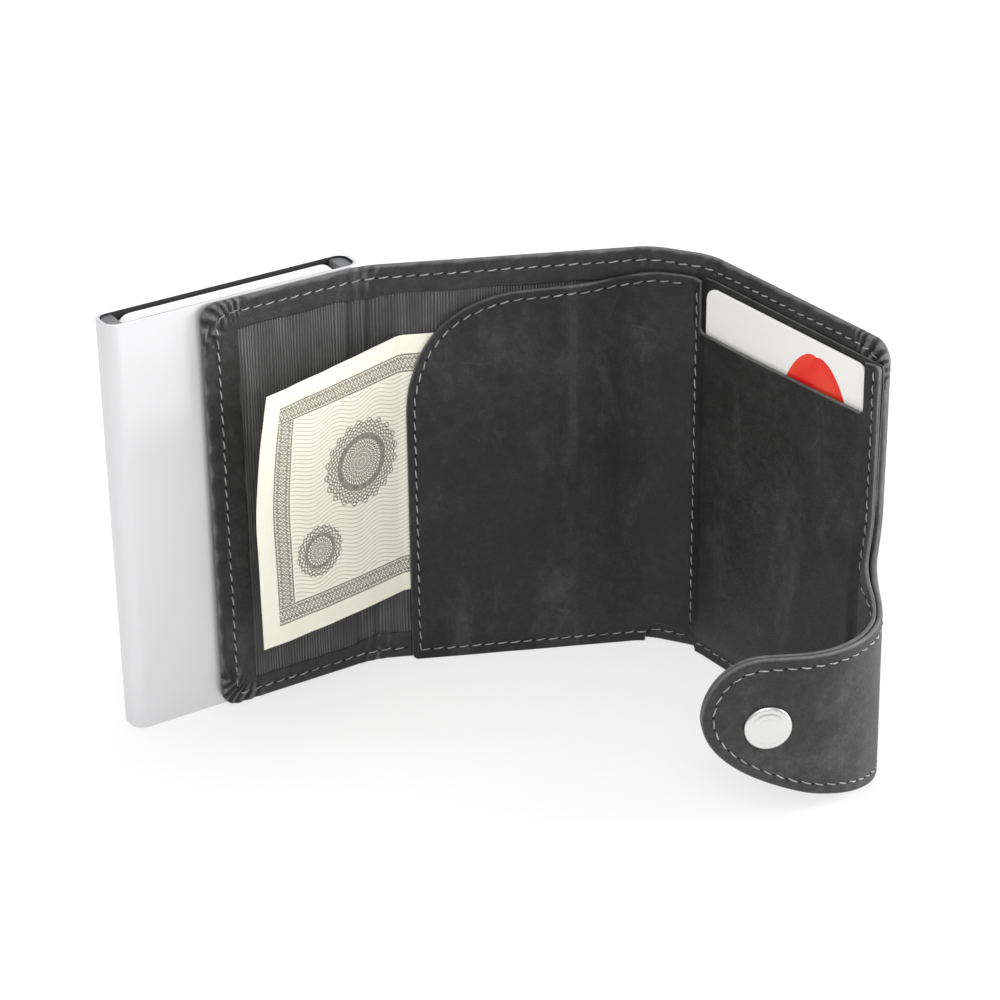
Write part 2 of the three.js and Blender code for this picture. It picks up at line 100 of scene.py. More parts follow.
FRONT_START, FRONT_SHOULDER = 8.6, 66
FRONT_FACE, FRONT_BACK = -1.6, -0.3
POCKET_FACE, POCKET_BACK, POCKET_EDGE = -3.01, -1.81, 84.6
POCKET_LIP = POCKET_EDGE + 1.6   # where the pocket's edge meets the strip beside the card
WINDOW_LEFT, WINDOW_TOP, SIDE_STRIP = 78.1, 97.0, 133.8
BACKING_TOP, BACKING_FOOT, BACKING_STEP = 97.6, 3.0, 133.4
BACKING_FACE, BACKING_BACK = -0.75, -0.15
SEAM = 2.9                  # from the leather's edge to its stitches
SWEEP_CORNER, SWEEP_TIP = 164.432, 140.868   # where the right panel's line and the tip's line would meet
SWEEP_RADIUS, SWEEP_OPENING = 19.6, 0.012
STRAP_FADE = 62.0           # above this height the right panel is flat up to its edge
ROOT_SPAN, TIP_SPAN = (139.0, 151.5), (153.8, 170.0)            # places along the strap given with its bends; nothing bends the strap there
CARD_WIDTH, CARD_HEIGHT, CARD_THICK, CARD_ROUND = 54.0, 85.6, 0.76, 3.18
CARD_INSET, CARD_TOP, CARD_FACE = 1.1, 96.0, -1.66
SNAP_PLACE, SNAP_HEIGHT, STUD_PLACE = TIP_FOLD + 19.5, 24.8, LEFT_FOLD + 13.6
NOTE_LEFT, NOTE_RIGHT, NOTE_FOOT, NOTE_TOP = -42.4, 46.9, 18.8, 85.1
NOTE_BEND, NOTE_ROUND, NOTE_DEPTH, NOTE_THICK = 7.5, 1.6, -0.1, 0.11
CASE_ROUND, CASE_WALL = 3.2, 0.9

# Folds: place along the pattern, depth of the axis, half width of the bend, and the joint
FOLD_PLAN = [
    (LEFT_FOLD, 1.2, 4.5, "fold_left"),
    (SPINE_FOLD, 1.6, 3.6, "fold_spine"),
    (RIGHT_FOLD, 1.6, 3.6, "fold_right"),
    (ROOT_FOLD, 1.0, 8.5, "fold_strap_root"),
    (TIP_FOLD, 1.0, 8.5, "fold_strap_tip"),
]


class Panel:
    """A rigid stretch of the pattern: where its own x is 0, and its origin and direction in the row frame."""

    def __init__(self, u0, origin, turn):
        self.u0, self.origin = u0, np.array(origin, float)
        self.along = np.array([math.cos(turn), math.sin(turn)])
        self.out = np.array([-math.sin(turn), math.cos(turn)])

    def plan(self, u, y):
        x = np.asarray(u, float) - self.u0
        return self.origin + x[..., None] * self.along + np.asarray(y, float)[..., None] * self.out


class Fold:
    """A bend between two rigid panels, which is an arc at rest that starts in the panel before it."""

    def __init__(self, before, place, depth, half, joint):
        self.before = before
        self.angle = -math.radians(joint["range_deg"][0])
        tangent = math.tan(self.angle / 2)
        self.start, self.end = place + depth * tangent - half, place - depth * tangent + half
        self.radius = half / tangent
        self.bodies = (joint["parent"], joint["child"])
        self.on = (*self.bodies, self.start, self.end)

    def plan(self, u, y):
        turn = (np.asarray(u, float) - self.start) / (self.end - self.start) * self.angle
        reach = self.radius + y
        return self.before.plan(self.start + reach * np.sin(turn), reach * np.cos(turn) - self.radius)


def make_pattern():
    joints = {joint["name"]: joint for joint in frame["joints"]}
    turn, panels, folds = 0.0, [], []
    for place, depth, half, name in FOLD_PLAN:
        joint = joints[name]
        axis = np.array(joint["pos_m"][:2]) / MM
        if not panels:
            panels.append(Panel(place, axis + [0, depth], turn))
        folds.append(Fold(panels[-1], place, depth, half, joint))
        turn += math.radians(joint["range_deg"][0])
        panels.append(Panel(place, axis + depth * np.array([-math.sin(turn), math.cos(turn)]), turn))
    return panels, folds


PANELS, FOLDS = make_pattern()
LEFT, MIDDLE, _, RIGHT, _, TIP = PANELS
BEND_LEFT, BEND_SPINE, BEND_RIGHT, BEND_ROOT, BEND_TIP = FOLDS
ROOT_ON, TIP_ON = (*BEND_ROOT.bodies, *ROOT_SPAN), (*BEND_TIP.bodies, *TIP_SPAN)

# Every stretch of the pattern, and the body it rides on or the bend between two bodies
STRETCHES = [
    ("left", LEFT_EDGE, BEND_LEFT.start, "left_panel_and_case"),
    ("bend_left", BEND_LEFT.start, BEND_LEFT.end, BEND_LEFT.on),
    ("middle", BEND_LEFT.end, BEND_SPINE.start, "middle_panel"),
    ("bend_spine", BEND_SPINE.start, BEND_SPINE.end, BEND_SPINE.on),
    ("spine", BEND_SPINE.end, BEND_RIGHT.start, "spine"),
    ("bend_right", BEND_RIGHT.start, BEND_RIGHT.end, BEND_RIGHT.on),
    ("right", BEND_RIGHT.end, ROOT_SPLIT, "right_panel"),
    ("root", ROOT_SPLIT, STRAP_MIDDLE, ROOT_ON),
    ("tip", STRAP_MIDDLE, TIP_END, TIP_ON),
]


def ease(value, start, end):
    t = np.clip((np.asarray(value, float) - start) / (end - start), 0, 1)
    return t * t * (3 - 2 * t)


def bell(value, at, width):
    return np.exp(-(((value - at) / width) ** 2))


def sweep(u, y, z):
    """The strap's round bend from the right panel to the strap's tip, a little tighter at its foot."""
    angle = BEND_ROOT.angle + BEND_TIP.angle
    radius = SWEEP_RADIUS + SWEEP_OPENING * np.clip(z, 0, STRAP_HIGH)
    start, end = SWEEP_CORNER - radius * math.tan(angle / 2), SWEEP_TIP + radius * math.tan(angle / 2)
    turn = (u - start) / (end - start) * angle
    bent = RIGHT.plan(start + (radius + y) * np.sin(turn), (radius + y) * np.cos(turn) - radius)
    return np.where((u > end)[..., None], TIP.plan(u, y), bent), u > start


def place(u, y, z):
    """Points of the pattern, in millimetres, as points of the row frame at rest, in metres."""
    u, y, z = np.broadcast_arrays(np.asarray(u, float), y, z)
    flat = LEFT.plan(u, y)
    for panel, fold in zip(PANELS[1:4], FOLDS):
        flat = np.where((u > fold.start)[..., None], fold.plan(u, y), flat)
        flat = np.where((u > fold.end)[..., None], panel.plan(u, y), flat)
    share = np.where(u > RIGHT_EDGE + FLARE, 1, 1 - ease(z, STRAP_HIGH + 0.4, STRAP_FADE))[..., None]
    bent, swept = sweep(u, y, z)
    flat = np.where(swept[..., None], bent * share + flat * (1 - share), flat)
    return np.concatenate([flat, z[..., None]], axis=-1) * MM


def point(u, y=0.0, z=0.0):
    return Vector(place(u, y, z).tolist())


def arc(centre_u, centre_z, radius, start, end, steps=14):
    """Points of an arc; angles are in quarter turns."""
    turn = np.linspace(start, end, steps) * math.pi / 2
    return np.stack([centre_u + radius * np.cos(turn), centre_z + radius * np.sin(turn)], 1)


def tip_curve(*shares, steps=40):
    """A Bezier line whose four points are shares of the strap tip's length and of the strap's height."""
    a, b, c, d = (np.array((TIP_FOLD + along * TIP_LENGTH, STRAP_LOW + up * (STRAP_HIGH - STRAP_LOW)))
                  for along, up in shares)
    t = np.linspace(0, 1, steps)[:, None]
    return a * (1 - t) ** 3 + 3 * b * t * (1 - t) ** 2 + 3 * c * t * t * (1 - t) + d * t ** 3


def smooth_line(points, steps=24):
    """A Catmull-Rom line through the points."""
    p = np.array(points, float)
    p = np.vstack([2 * p[0] - p[1], p, 2 * p[-1] - p[-2]])
    t = np.linspace(0, 1, steps, endpoint=False)[:, None]
    made = [
        0.5 * (2 * b + (c - a) * t + (2 * a - 5 * b + 4 * c - d) * t ** 2 + (3 * b - a - 3 * c + d) * t ** 3)
        for a, b, c, d in zip(p, p[1:], p[2:], p[3:])
    ]
    return np.vstack(made + [p[-2:-1]])


def distance_to(lines, u, z):
    """How far each pattern point is from the nearest of the lines."""
    q = np.stack([u, z], -1)
    best = np.full(u.shape, 1e9)
    for line in lines:
        for a, b in zip(line[:-1], line[1:]):
            along = b - a
            size = float(along @ along)
            if size < 1e-12:
                continue
            t = np.clip(((q - a) @ along) / size, 0, 1)
            best = np.minimum(best, ((q - (a + t[..., None] * along)) ** 2).sum(-1))
    return np.sqrt(best)


# Outlines of the leathers, in the pattern

STRAP_FOOT = smooth_line([(126, 0), (132.5, 0), (143, 0.3), (150, 1.2), (159.4, 3.4), (168.5, 5.78)], 8)
TIP_LOW = tip_curve((0.17, 0.016), (0.478, 0.082), (0.977, 0.255), (1, 0.6))
TIP_HIGH = tip_curve((0.59, 1), (0.85, 1), (1, 0.79), (1, 0.6))
SHELL_LOW = np.vstack([
    arc(LEFT_EDGE + LEFT_CORNER, LEFT_CORNER, LEFT_CORNER, 2, 3), STRAP_FOOT[:-1], TIP_LOW])
SHELL_TOP = np.vstack([
    arc(LEFT_EDGE + LEFT_CORNER, HEIGHT - LEFT_CORNER, LEFT_CORNER, 2, 1),
    arc(RIGHT_EDGE - RIGHT_CORNER, HEIGHT - RIGHT_CORNER, RIGHT_CORNER, 1, 0),
])
SHELL_SIDE = np.array([(RIGHT_EDGE, HEIGHT - RIGHT_CORNER), (RIGHT_EDGE, STRAP_HIGH + FLARE)])
STRAP_TOP = np.vstack([arc(RIGHT_EDGE + FLARE, STRAP_HIGH + FLARE, FLARE, 2, 3, 20), TIP_HIGH])
SHELL_LEFT = np.array([(LEFT_EDGE, LEFT_CORNER), (LEFT_EDGE, HEIGHT - LEFT_CORNER)])

FRONT_TOP = smooth_line([
    (FRONT_START, FRONT_SHOULDER), (9.0, 70.5), (10.1, 75.0), (12.8, 81.6), (16.9, 86.9), (23, 91.2),
    (31.4, 94.0), (42, 94.7), (52, 95.3), (60, 96.4), (68, 97.2), (74, 97.4), (WINDOW_LEFT, WINDOW_TOP),
])
FRONT_LOW = np.vstack([
    arc(FRONT_START + FRONT_CORNER, FRONT_CORNER, FRONT_CORNER, 2, 3, 8),
    smooth_line([(65.2, 0), (65.5, 2.2), (66.3, 3.9), (67.6, 4.9), (69.6, 5.2), (72, 4.9), (75, 4.1),
                 (76.8, 3.1), (77.8, 1.5), (78.3, 0)], 8),
    STRAP_FOOT[:-1], TIP_LOW,
])
FRONT_LEFT = np.array([(FRONT_START, FRONT_CORNER), (FRONT_START, FRONT_SHOULDER)])
WINDOW = np.vstack([
    [(WINDOW_LEFT, WINDOW_TOP), (WINDOW_LEFT, POCKET_EDGE + WINDOW_CORNER)],
    arc(WINDOW_LEFT + WINDOW_CORNER, POCKET_EDGE + WINDOW_CORNER, WINDOW_CORNER, -2, -1, 5),
    [(96, POCKET_EDGE), (SIDE_STRIP - 0.6, POCKET_EDGE + 0.9)],
    [(SIDE_STRIP, POCKET_LIP), (SIDE_STRIP, BACKING_TOP)],
])
STRIP_CORNER = arc(RIGHT_EDGE - BACKING_CORNER, BACKING_TOP - BACKING_CORNER, BACKING_CORNER, 1, 0, 8)
STRIP_TOP = np.vstack([[(SIDE_STRIP, BACKING_TOP)], STRIP_CORNER, [(RIGHT_EDGE, STRAP_HIGH + FLARE)]])


def line_at(line, u):
    return np.interp(u, line[:, 0], line[:, 1])


# Grids over the pattern

EDGE_STEPS = np.array([0, 0.03, 0.12, 0.27, 0.45, 0.68, 0.9, 1.25, 1.7, 2.2, 2.6, 3.0, 3.5, 4.2])
HEM_STEPS = np.array([-0.8, -0.3, -0.07, 0, 0.07, 0.14, 0.5])
OPEN = np.zeros(1)          # rows for an edge that meets the next block


def hem_low(u):
    """The lower hem's inner edge, which puckers at the left fold."""
    return HEM_BOTTOM + 1.3 * ease(u, -5, -1) * (1 - ease(u, 12, 20)) + 0.12 * np.sin(u * 0.9)


def hem_high(u):
    """How wide the upper hem is."""
    return HEM_TOP + 0.5 * ease(u, -7, -3) * (1 - ease(u, 1, 6)) + 0.15 * np.sin(u * 0.35 + 1)


def hem_rows(us, width):
    return np.hstack([np.repeat(EDGE_STEPS[None], len(us), 0), width(us)[:, None] + HEM_STEPS])


def merge(*parts):
    return np.unique(np.round(np.concatenate(parts), 4))


def columns(start, end, step, extra=()):
    count = max(2, int(round((end - start) / step)) + 1)
    return merge(np.linspace(start, end, count), [e for e in extra if start < e < end])


def grid(us, low, high, low_rows=EDGE_STEPS, high_rows=EDGE_STEPS, step=2.2):
    """Pattern points in columns at us, between two heights or lines, with close rows near both edges."""
    low, high = (np.broadcast_to(line_at(edge, us) if np.ndim(edge) == 2 else edge, us.shape)[:, None]
                 for edge in (low, high))
    low_rows, high_rows = (np.broadcast_to(rows, (len(us), rows.shape[-1])) for rows in (low_rows, high_rows))
    room = high - low
    squeeze = np.minimum(1, 0.96 * room / (low_rows[:, -1:] + high_rows[:, -1:] + 1e-6))
    bottom, top = low + low_rows * squeeze, high - high_rows[:, ::-1] * squeeze
    t = np.linspace(0, 1, max(3, int(float(room.max()) / step)) + 2)[1:-1]
    z = np.hstack([bottom, bottom[:, -1:] * (1 - t) + top[:, :1] * t, top])
    return np.repeat(us[:, None], z.shape[1], 1), z


class Layer:
    """One leather of the wallet over the pattern: its turned edges and its two faces' depths."""

    def __init__(self, edges, inner, outer, radius, painted_light=None):
        self.edges, self.inner, self.outer, self.radius = edges, inner, outer, radius
        # The last argument gives painted shade and painted highlight over the pattern, negative for shade and
        # positive for highlight.
        self.painted_light = painted_light or (lambda u, z: np.zeros(u.shape))

    def faces(self, u, z):
        d = distance_to(self.edges, u, z)
        low, high = self.inner(u, z, d), self.outer(u, z, d)
        share = np.sqrt(np.clip(1 - (1 - np.clip(d / self.radius, 0, 1)) ** 2, 0, 1))
        middle, half = (low + high) / 2, (high - low) / 2 * share
        return middle - half, middle + half, d

    def inner_face(self, u, z):
        return self.faces(u, z)[0]

    def outer_face(self, u, z):
        return self.faces(u, z)[1]


def weld(points, faces, values=()):
    """Points that coincide become one, and faces that this closes are dropped."""
    _, first, index = np.unique(np.round(points / 2e-7).astype(np.int64), axis=0,
                                return_index=True, return_inverse=True)
    kept = []
    for face in index.reshape(-1)[faces].tolist():
        ring = [v for i, v in enumerate(face) if v != face[i - 1]]
        if len(set(ring)) == len(ring) > 2:
            kept.append(ring)
    return points[first], kept, [value[first] for value in values]


def add_attribute(mesh, label, values):
    values = np.asarray(values, np.float32)
    kind, field = ("FLOAT_VECTOR", "vector") if values.ndim == 2 else ("FLOAT", "value")
    mesh.attributes.new(label, kind, "POINT").data.foreach_set(field, values.ravel())


def make_object(name, points, faces, material, attributes=()):
    mesh = bpy.data.meshes.new(name)
    mesh.from_pydata(np.asarray(points).tolist(), [], faces if isinstance(faces, list) else faces.tolist())
    for label, values in attributes:
        add_attribute(mesh, label, values)
    mesh.polygons.foreach_set("use_smooth", np.full(len(mesh.polygons), True))
    mesh.materials.append(material)
    mesh.validate()
    mesh.update()
    made = bpy.data.objects.new(name, mesh)
    bpy.context.scene.collection.objects.link(made)
    return made


def quads(count_u, count_z, offset=0, flip=False):
    index = offset + np.arange(count_u * count_z).reshape(count_u, count_z)
    a, b, c, d = index[:-1, :-1], index[1:, :-1], index[1:, 1:], index[:-1, 1:]
    return np.stack((a, d, c, b) if flip else (a, b, c, d), -1).reshape(-1, 4)


def ring_faces(index):
    """Faces between closed rings of points, one ring to a row."""
    nxt = np.roll(index, -1, 1)
    return np.stack([index[:-1], nxt[:-1], nxt[1:], index[1:]], -1).reshape(-1, 4)


def sharpen(piece, angle=40):
    """Flat areas stay flat: edges steeper than the angle are sharp."""
    piece.data.set_sharp_from_angle(angle=math.radians(angle))
    return piece


def attach(piece, on, nodes=()):
    """The piece rides on a body; given two bodies and two places along the pattern instead, its transform is
    baked and it rides on neither.
    """
    if isinstance(on, str):
        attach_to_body(piece, on)
    else:
        parent, child, start, end = on
        point(start)
        point(end)
        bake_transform(piece)
    if nodes:
        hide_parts(*nodes)
    return piece


def leather_piece(name, layer, blocks, material, on, nodes=()):
    """Both faces of a leather over blocks of the pattern, joined at its turned edges."""
    points, faces, pattern, wear_and_painted_light, offset = [], [], [], [], 0
    for u, z in blocks:
        inner, outer, d = layer.faces(u, z)
        # Edges worn pale and also painted with a highlight along them; on the inner face the layer's painted
        # shade and highlight are added.
        rubbed_and_lit = np.exp(-d / (0.6 * layer.radius))
        rub_and_painted_light = np.clip(rubbed_and_lit + layer.painted_light(u, z), -1, 1)
        for y, shift, worn in ((inner, 0.0, rub_and_painted_light), (outer, 0.3, rubbed_and_lit)):
            points.append(place(u, y, z).reshape(-1, 3))
            pattern.append(np.stack([u, shift / MM + y, z], -1).reshape(-1, 3) * MM)
            wear_and_painted_light.append(worn.ravel())
            faces.append(quads(*u.shape, offset, flip=shift > 0))
            offset += u.size
    points, faces, (pattern, wear_and_painted_light) = weld(
        np.vstack(points), np.vstack(faces), [np.vstack(pattern), np.concatenate(wear_and_painted_light)])
    piece = make_object(name, points, faces, material, [("pattern", pattern), ("wear_and_painted_light", wear_and_painted_light)])
    return attach(piece, on, nodes)


# Layers: how deep each face lies

def ripple(u, z, size=0.05):
    """The slow unevenness of a worn leather."""
    return size * (np.sin(u * 0.21 + 1.3 * np.sin(z * 0.09)) + np.sin(z * 0.17 + 0.8 * np.sin(u * 0.13 + 2)))


def pleats(u, z, corner_u, corner_z, side, rise, seed):
    """Gathers of the turned hem that fan out round a corner; side and rise point into the leather."""
    x, y = 10 - (u - corner_u) * side, 10 - (z - corner_z) * rise
    away, turn = np.hypot(x, y), np.arctan2(y, x)
    fan = np.sin(turn * 30 + 2.2 * np.sin(turn * 5 + seed) + 0.5 * np.sin(away * 1.1 + seed))
    fan = np.abs(fan) ** 0.6 * np.sign(fan)
    return fan * ease(away, 3.5, 8) * (1 - ease(away, 12.8, 14.2)) * ease(x, -2, 2) * ease(y, -2, 2)


def gathers(u, z):
    return (pleats(u, z, LEFT_EDGE, HEIGHT, 1, -1, 0.4) + pleats(u, z, LEFT_EDGE, 0, 1, 1, 2.6)
            + pleats(u, z, RIGHT_EDGE, HEIGHT, -1, -1, 4.1))


def fold_creases(u, z):
    """Creases across the hem at the left fold, and faint ones at the spine's folds."""
    near = bell(u, -0.5, 4.2) + 0.35 * (bell(u, 64, 2.5) + bell(u, 79, 3))
    return near * np.sin(u * 2.6 + 0.7 * np.sin(z * 1.7))


def hem_joints(u, z):
    """Slits where one end of the hem's turned leather laps over the next."""
    slits = bell(u - 0.12 * (HEIGHT - z), 129.3, 0.17) + 0.8 * bell(u, 81.2, 0.14)
    return slits * ease(z, 60, 90)


def recess(u, z):
    inside = np.minimum.reduce([u - (LEFT_EDGE + HEM_SIDE + 0.15 * np.sin(z * 0.3)), z - hem_low(u),
                                HEIGHT - hem_high(u) - z, LINING_END - u])
    return (RECESS + 0.1) * ease(inside, -0.07, 0.09)


def hem_share(u, z):
    return 1 - ease(recess(u, z), 0.1, RECESS)


# Painted shade and painted highlight on the hem: the pleats' ridges pale and their valleys dark, the creases
# at the folds in dark and pale stripes, the slits of the hem's joints dark, and wavy darker and paler
# patches.
def shell_painted_crease_light(u, z):
    dents = 0.25 * np.sin(u * 0.7 + 2 * np.sin(z * 0.9)) * np.sin(u * 0.31 + 1)
    folds = 0.95 * gathers(u, z) + 0.5 * fold_creases(u, z) - 1.3 * hem_joints(u, z)
    return hem_share(u, z) * (folds + dents)


def front_painted_bands(u, z):
    """Painted shade and painted highlight: darker and paler bands where the leather has settled in waves
    towards the spine, and a pale line at the spine's fold.
    """
    bands = 0.34 * bell(u, 47.5, 3) - 0.5 * bell(u - 0.02 * z, 56.5, 2.6)
    return bands * (0.35 + 0.65 * ease(z, 15, 60)) + 0.22 * bell(u, 63.5, 1.2)


def strap_share(u, z):
    """How far the shell and the inner leather have closed up to become the strap."""
    share = ease(u, SIDE_STRIP, RIGHT_EDGE + 5) * (1 - ease(z, STRAP_HIGH, STRAP_FADE - 4))
    return np.where(u > RIGHT_EDGE + FLARE, 1, share)


def front_depth(u, z, middle, pocket, strap):
    """One face of the inner leather: flat, then over the card, pressed down at the seams, then the strap."""
    press = np.maximum(ease(u, 133.2, 135.6), 1 - ease(z, 3, 8))
    depth = middle + (pocket + press - middle) * ease(u, RIGHT_FOLD - 3, RIGHT_FOLD + 2.6)
    return depth + (strap - depth) * strap_share(u, z)


def shell_inner(u, z, d):
    hem, strap = hem_share(u, z), strap_share(u, z)
    lap = 0.3 * ease(u - 0.12 * (HEIGHT - z), 129.2, 129.5) * ease(z, 80, 90)
    turned_in = (0.1 * fold_creases(u, z) - 0.22 * gathers(u, z) + 0.4 * hem_joints(u, z) - lap
                 - np.abs(ripple(u, z)) + 0.1 * bell(d, SEAM, 0.5) * (1 - strap))
    return recess(u, z) + turned_in * hem + (STRAP_SPLIT + SPLIT_GAP / 2) * strap


def shell_outer(u, z, d):
    strap = ease(u, RIGHT_EDGE - 1.2, RIGHT_EDGE + 5)
    return THICK + (STRAP_OUT - THICK) * strap - 0.1 * bell(d, SEAM, 0.5) + ripple(u, z, 0.03) * ease(d, 0, 3)


def front_inner(u, z, d):
    """The inner leather's face, with the pocket's edge groove, the card's imprint and waves at the spine."""
    face = front_depth(u, z, FRONT_FACE, POCKET_FACE, STRAP_IN)
    edge = POCKET_EDGE + 0.9 * (u - 96) / (SIDE_STRIP - 96)
    groove = 0.16 * bell(z - edge, -1.7, 0.22) * ease(u, 80, 81) * (1 - ease(u, 132, 133))
    card = np.minimum.reduce([u - 79.4, BACKING_STEP - u, z - 10.4, edge - 0.6 - z])
    imprint = -0.16 * ease(card, -0.7, 0.7) * ease(u, 79, 81.4)
    waves = 0.15 * np.sin((u - 45) * 0.5 + 0.02 * z)
    waves = waves * ease(u, 43, 50) * (1 - ease(u, 60, 64)) * ease(z, 8, 40)
    return face + 0.1 * bell(d, 2.2, 0.5) + groove + imprint + waves - np.abs(ripple(u, z))


def front_outer(u, z, d):
    return front_depth(u, z, FRONT_BACK, POCKET_BACK, STRAP_SPLIT - SPLIT_GAP / 2)


def level(depth):
    return lambda u, z, d: np.full(u.shape, depth)


SHELL = Layer([SHELL_LOW, SHELL_TOP, SHELL_SIDE, STRAP_TOP, SHELL_LEFT], shell_inner, shell_outer, 0.7,
              shell_painted_crease_light)
FRONT = Layer([FRONT_TOP, FRONT_LOW, FRONT_LEFT, WINDOW, STRIP_TOP, STRAP_TOP], front_inner, front_outer, 0.4,
              front_painted_bands)
BACKING = Layer(
    [np.array([(SPINE_FOLD + 4, BACKING_TOP), (RIGHT_EDGE - BACKING_CORNER, BACKING_TOP)]), STRIP_CORNER,
     np.array([(RIGHT_EDGE, BACKING_TOP - BACKING_CORNER), (RIGHT_EDGE, STRAP_FADE),
               (BACKING_STEP, STRAP_FADE), (BACKING_STEP, BACKING_FOOT)])],
    level(BACKING_FACE), level(BACKING_BACK), 0.3)


# Materials

def channels(value):
    """A grey level or a colour as four channels; another node's output stays as it is."""
    if isinstance(value, bpy.types.NodeSocket):
        return value
    value = tuple(value) if hasattr(value, "__len__") else (value,) * 3
    return (*value, 1) if len(value) == 3 else value


class Finish:
    """A material under construction: nodes are added by name, and values or other nodes' outputs go in."""

    def __init__(self, name):
        self.material = bpy.data.materials.new(name)
        self.material.use_nodes = True
        self.nodes, self.links = self.material.node_tree.nodes, self.material.node_tree.links
        self.shader = next(n for n in self.nodes if n.type == "BSDF_PRINCIPLED")

    def put(self, socket, value):
        if isinstance(value, bpy.types.NodeSocket):
            self.links.new(value, socket)
        else:
            socket.default_value = value

    def add(self, kind, settings=None, out=0, **inputs):
        node = self.nodes.new("ShaderNode" + kind)
        for key, value in (settings or {}).items():
            setattr(node, key, value)
        for key, value in inputs.items():
            self.put(node.inputs[int(key[1:]) if key[1:].isdigit() else key.replace("_", " ")], value)
        return node.outputs[out]

    def pattern(self):
        return self.add("Attribute", {"attribute_name": "pattern"}, out=1)

    def wear_and_painted_light(self):
        return self.add("Attribute", {"attribute_name": "wear_and_painted_light"}, out=2)

    def pattern_in_mm(self):
        """The pattern's u and z as two numbers in millimetres."""
        part = self.nodes.new("ShaderNodeSeparateXYZ")
        self.links.new(self.stretch(self.pattern(), (1 / MM,) * 3), part.inputs[0])
        return part.outputs[0], part.outputs[2]

    def math(self, operation, a, b=0.0, c=0.0, clamp=False):
        return self.add("Math", {"operation": operation, "use_clamp": clamp}, i0=a, i1=b, i2=c)

    def times(self, a, b, plus=None, clamp=False):
        if plus is None:
            return self.math("MULTIPLY", a, b, clamp=clamp)
        return self.math("MULTIPLY_ADD", a, b, plus, clamp)

    def minus(self, a, b):
        return self.math("SUBTRACT", a, b)

    def above(self, value, limit):
        return self.math("GREATER_THAN", value, limit)

    def below(self, value, limit):
        return self.math("LESS_THAN", value, limit)

    def noise(self, vector, scale, detail=3.0, rough=0.55, distortion=0.0):
        return self.add("TexNoise", Vector=vector, Scale=scale, Detail=detail, Roughness=rough,
                        Distortion=distortion)

    def bands(self, direction, scale, **inputs):
        settings = {"wave_type": "BANDS", "bands_direction": direction}
        return self.add("TexWave", settings, Scale=scale, **inputs)

    def ramp(self, value, *stops):
        node = self.nodes.new("ShaderNodeValToRGB")
        elements = node.color_ramp.elements
        while len(elements) < len(stops):
            elements.new(0.5)
        for element, (at, colour) in zip(elements, stops):
            element.position, element.color = at, channels(colour)
        self.links.new(value, node.inputs[0])
        return node.outputs[0]

    def mix(self, share, a, b):
        node = self.nodes.new("ShaderNodeMix")
        node.data_type = "RGBA"
        for socket, value in ((0, share), (6, channels(a)), (7, channels(b))):
            self.put(node.inputs[socket], value)
        return node.outputs[2]

    def stretch(self, vector, scale, turn=(0, 0, 0)):
        return self.add("Mapping", Vector=vector, Rotation=turn, Scale=scale)

    def bump(self, height, distance, strength=1.0, **under):
        return self.add("Bump", Height=height, Distance=distance, Strength=strength, **under)

    def done(self, **inputs):
        for key, value in inputs.items():
            self.put(self.shader.inputs[key.replace("_", " ")], value)
        return self.material


def leather_finish(name, base, worn):
    """Waxed leather: cloudy tone, fine grain, scratches in several directions, edges worn pale and painted
    with a highlight, and painted shade and highlight in creases and bands.
    """
    f = Finish(name)
    pattern, wear_and_painted_light = f.pattern(), f.wear_and_painted_light()
    clouds, mottle = f.noise(pattern, 34, 4, 0.6, 0.6), f.noise(pattern, 420, 6, 0.7)
    speck = f.noise(pattern, 2100, 2, 0.6)
    depth = f.times(mottle, 0.4, f.times(clouds, 0.4, f.times(speck, 0.2)))
    colour = f.ramp(depth, (0.38, base * 0.6), (0.5, base), (0.64, base * 1.9))
    smudge = f.ramp(f.noise(f.stretch(pattern, (1, 1, 0.45)), 75, 5, 0.7, 0.4), (0.54, 0), (0.7, 0.32))
    colour = f.mix(f.times(smudge, mottle), colour, worn)
    for turn, long, limit in ((0.1, 60, 0.68), (-0.45, 90, 0.7), (1.35, 80, 0.7)):
        turned_pattern = f.stretch(pattern, (1, 1, 1), (0, turn, 0))
        scratch = f.noise(f.stretch(turned_pattern, (900, 900, long)), 1.0, 2, 0.5)
        scratch = f.ramp(scratch, (limit, 0), (limit + 0.05, 1))
        colour = f.mix(f.times(scratch, f.ramp(clouds, (0.48, 0), (0.7, 0.2))), colour, worn)
    # Painted shade: where the values are negative, in pleat valleys, slits and dark bands, the colour is
    # darkened.
    colour = f.mix(f.times(wear_and_painted_light, -0.9, clamp=True), colour, base * 0.22)
    # Edges worn pale with a painted edge highlight, and painted highlight on ridges and pale bands.
    rub_and_highlight = f.ramp(wear_and_painted_light, (0.25, 0), (0.85, 1))
    colour = f.mix(f.times(rub_and_highlight, f.times(mottle, 1.3, clamp=True), clamp=True), colour, worn)
    fine = f.add("TexVoronoi", {"feature": "DISTANCE_TO_EDGE"}, Vector=pattern, Scale=1500.0)
    normal = f.bump(f.times(f.math("MINIMUM", fine, 0.25), 1.6, f.times(speck, 0.8)), 0.0001, 0.8)
    normal = f.bump(mottle, 0.0003, 0.5, Normal=normal)
    return f.done(Base_Color=colour, Roughness=f.times(mottle, 0.25, 0.4), Normal=normal,
                  Specular_IOR_Level=0.3)


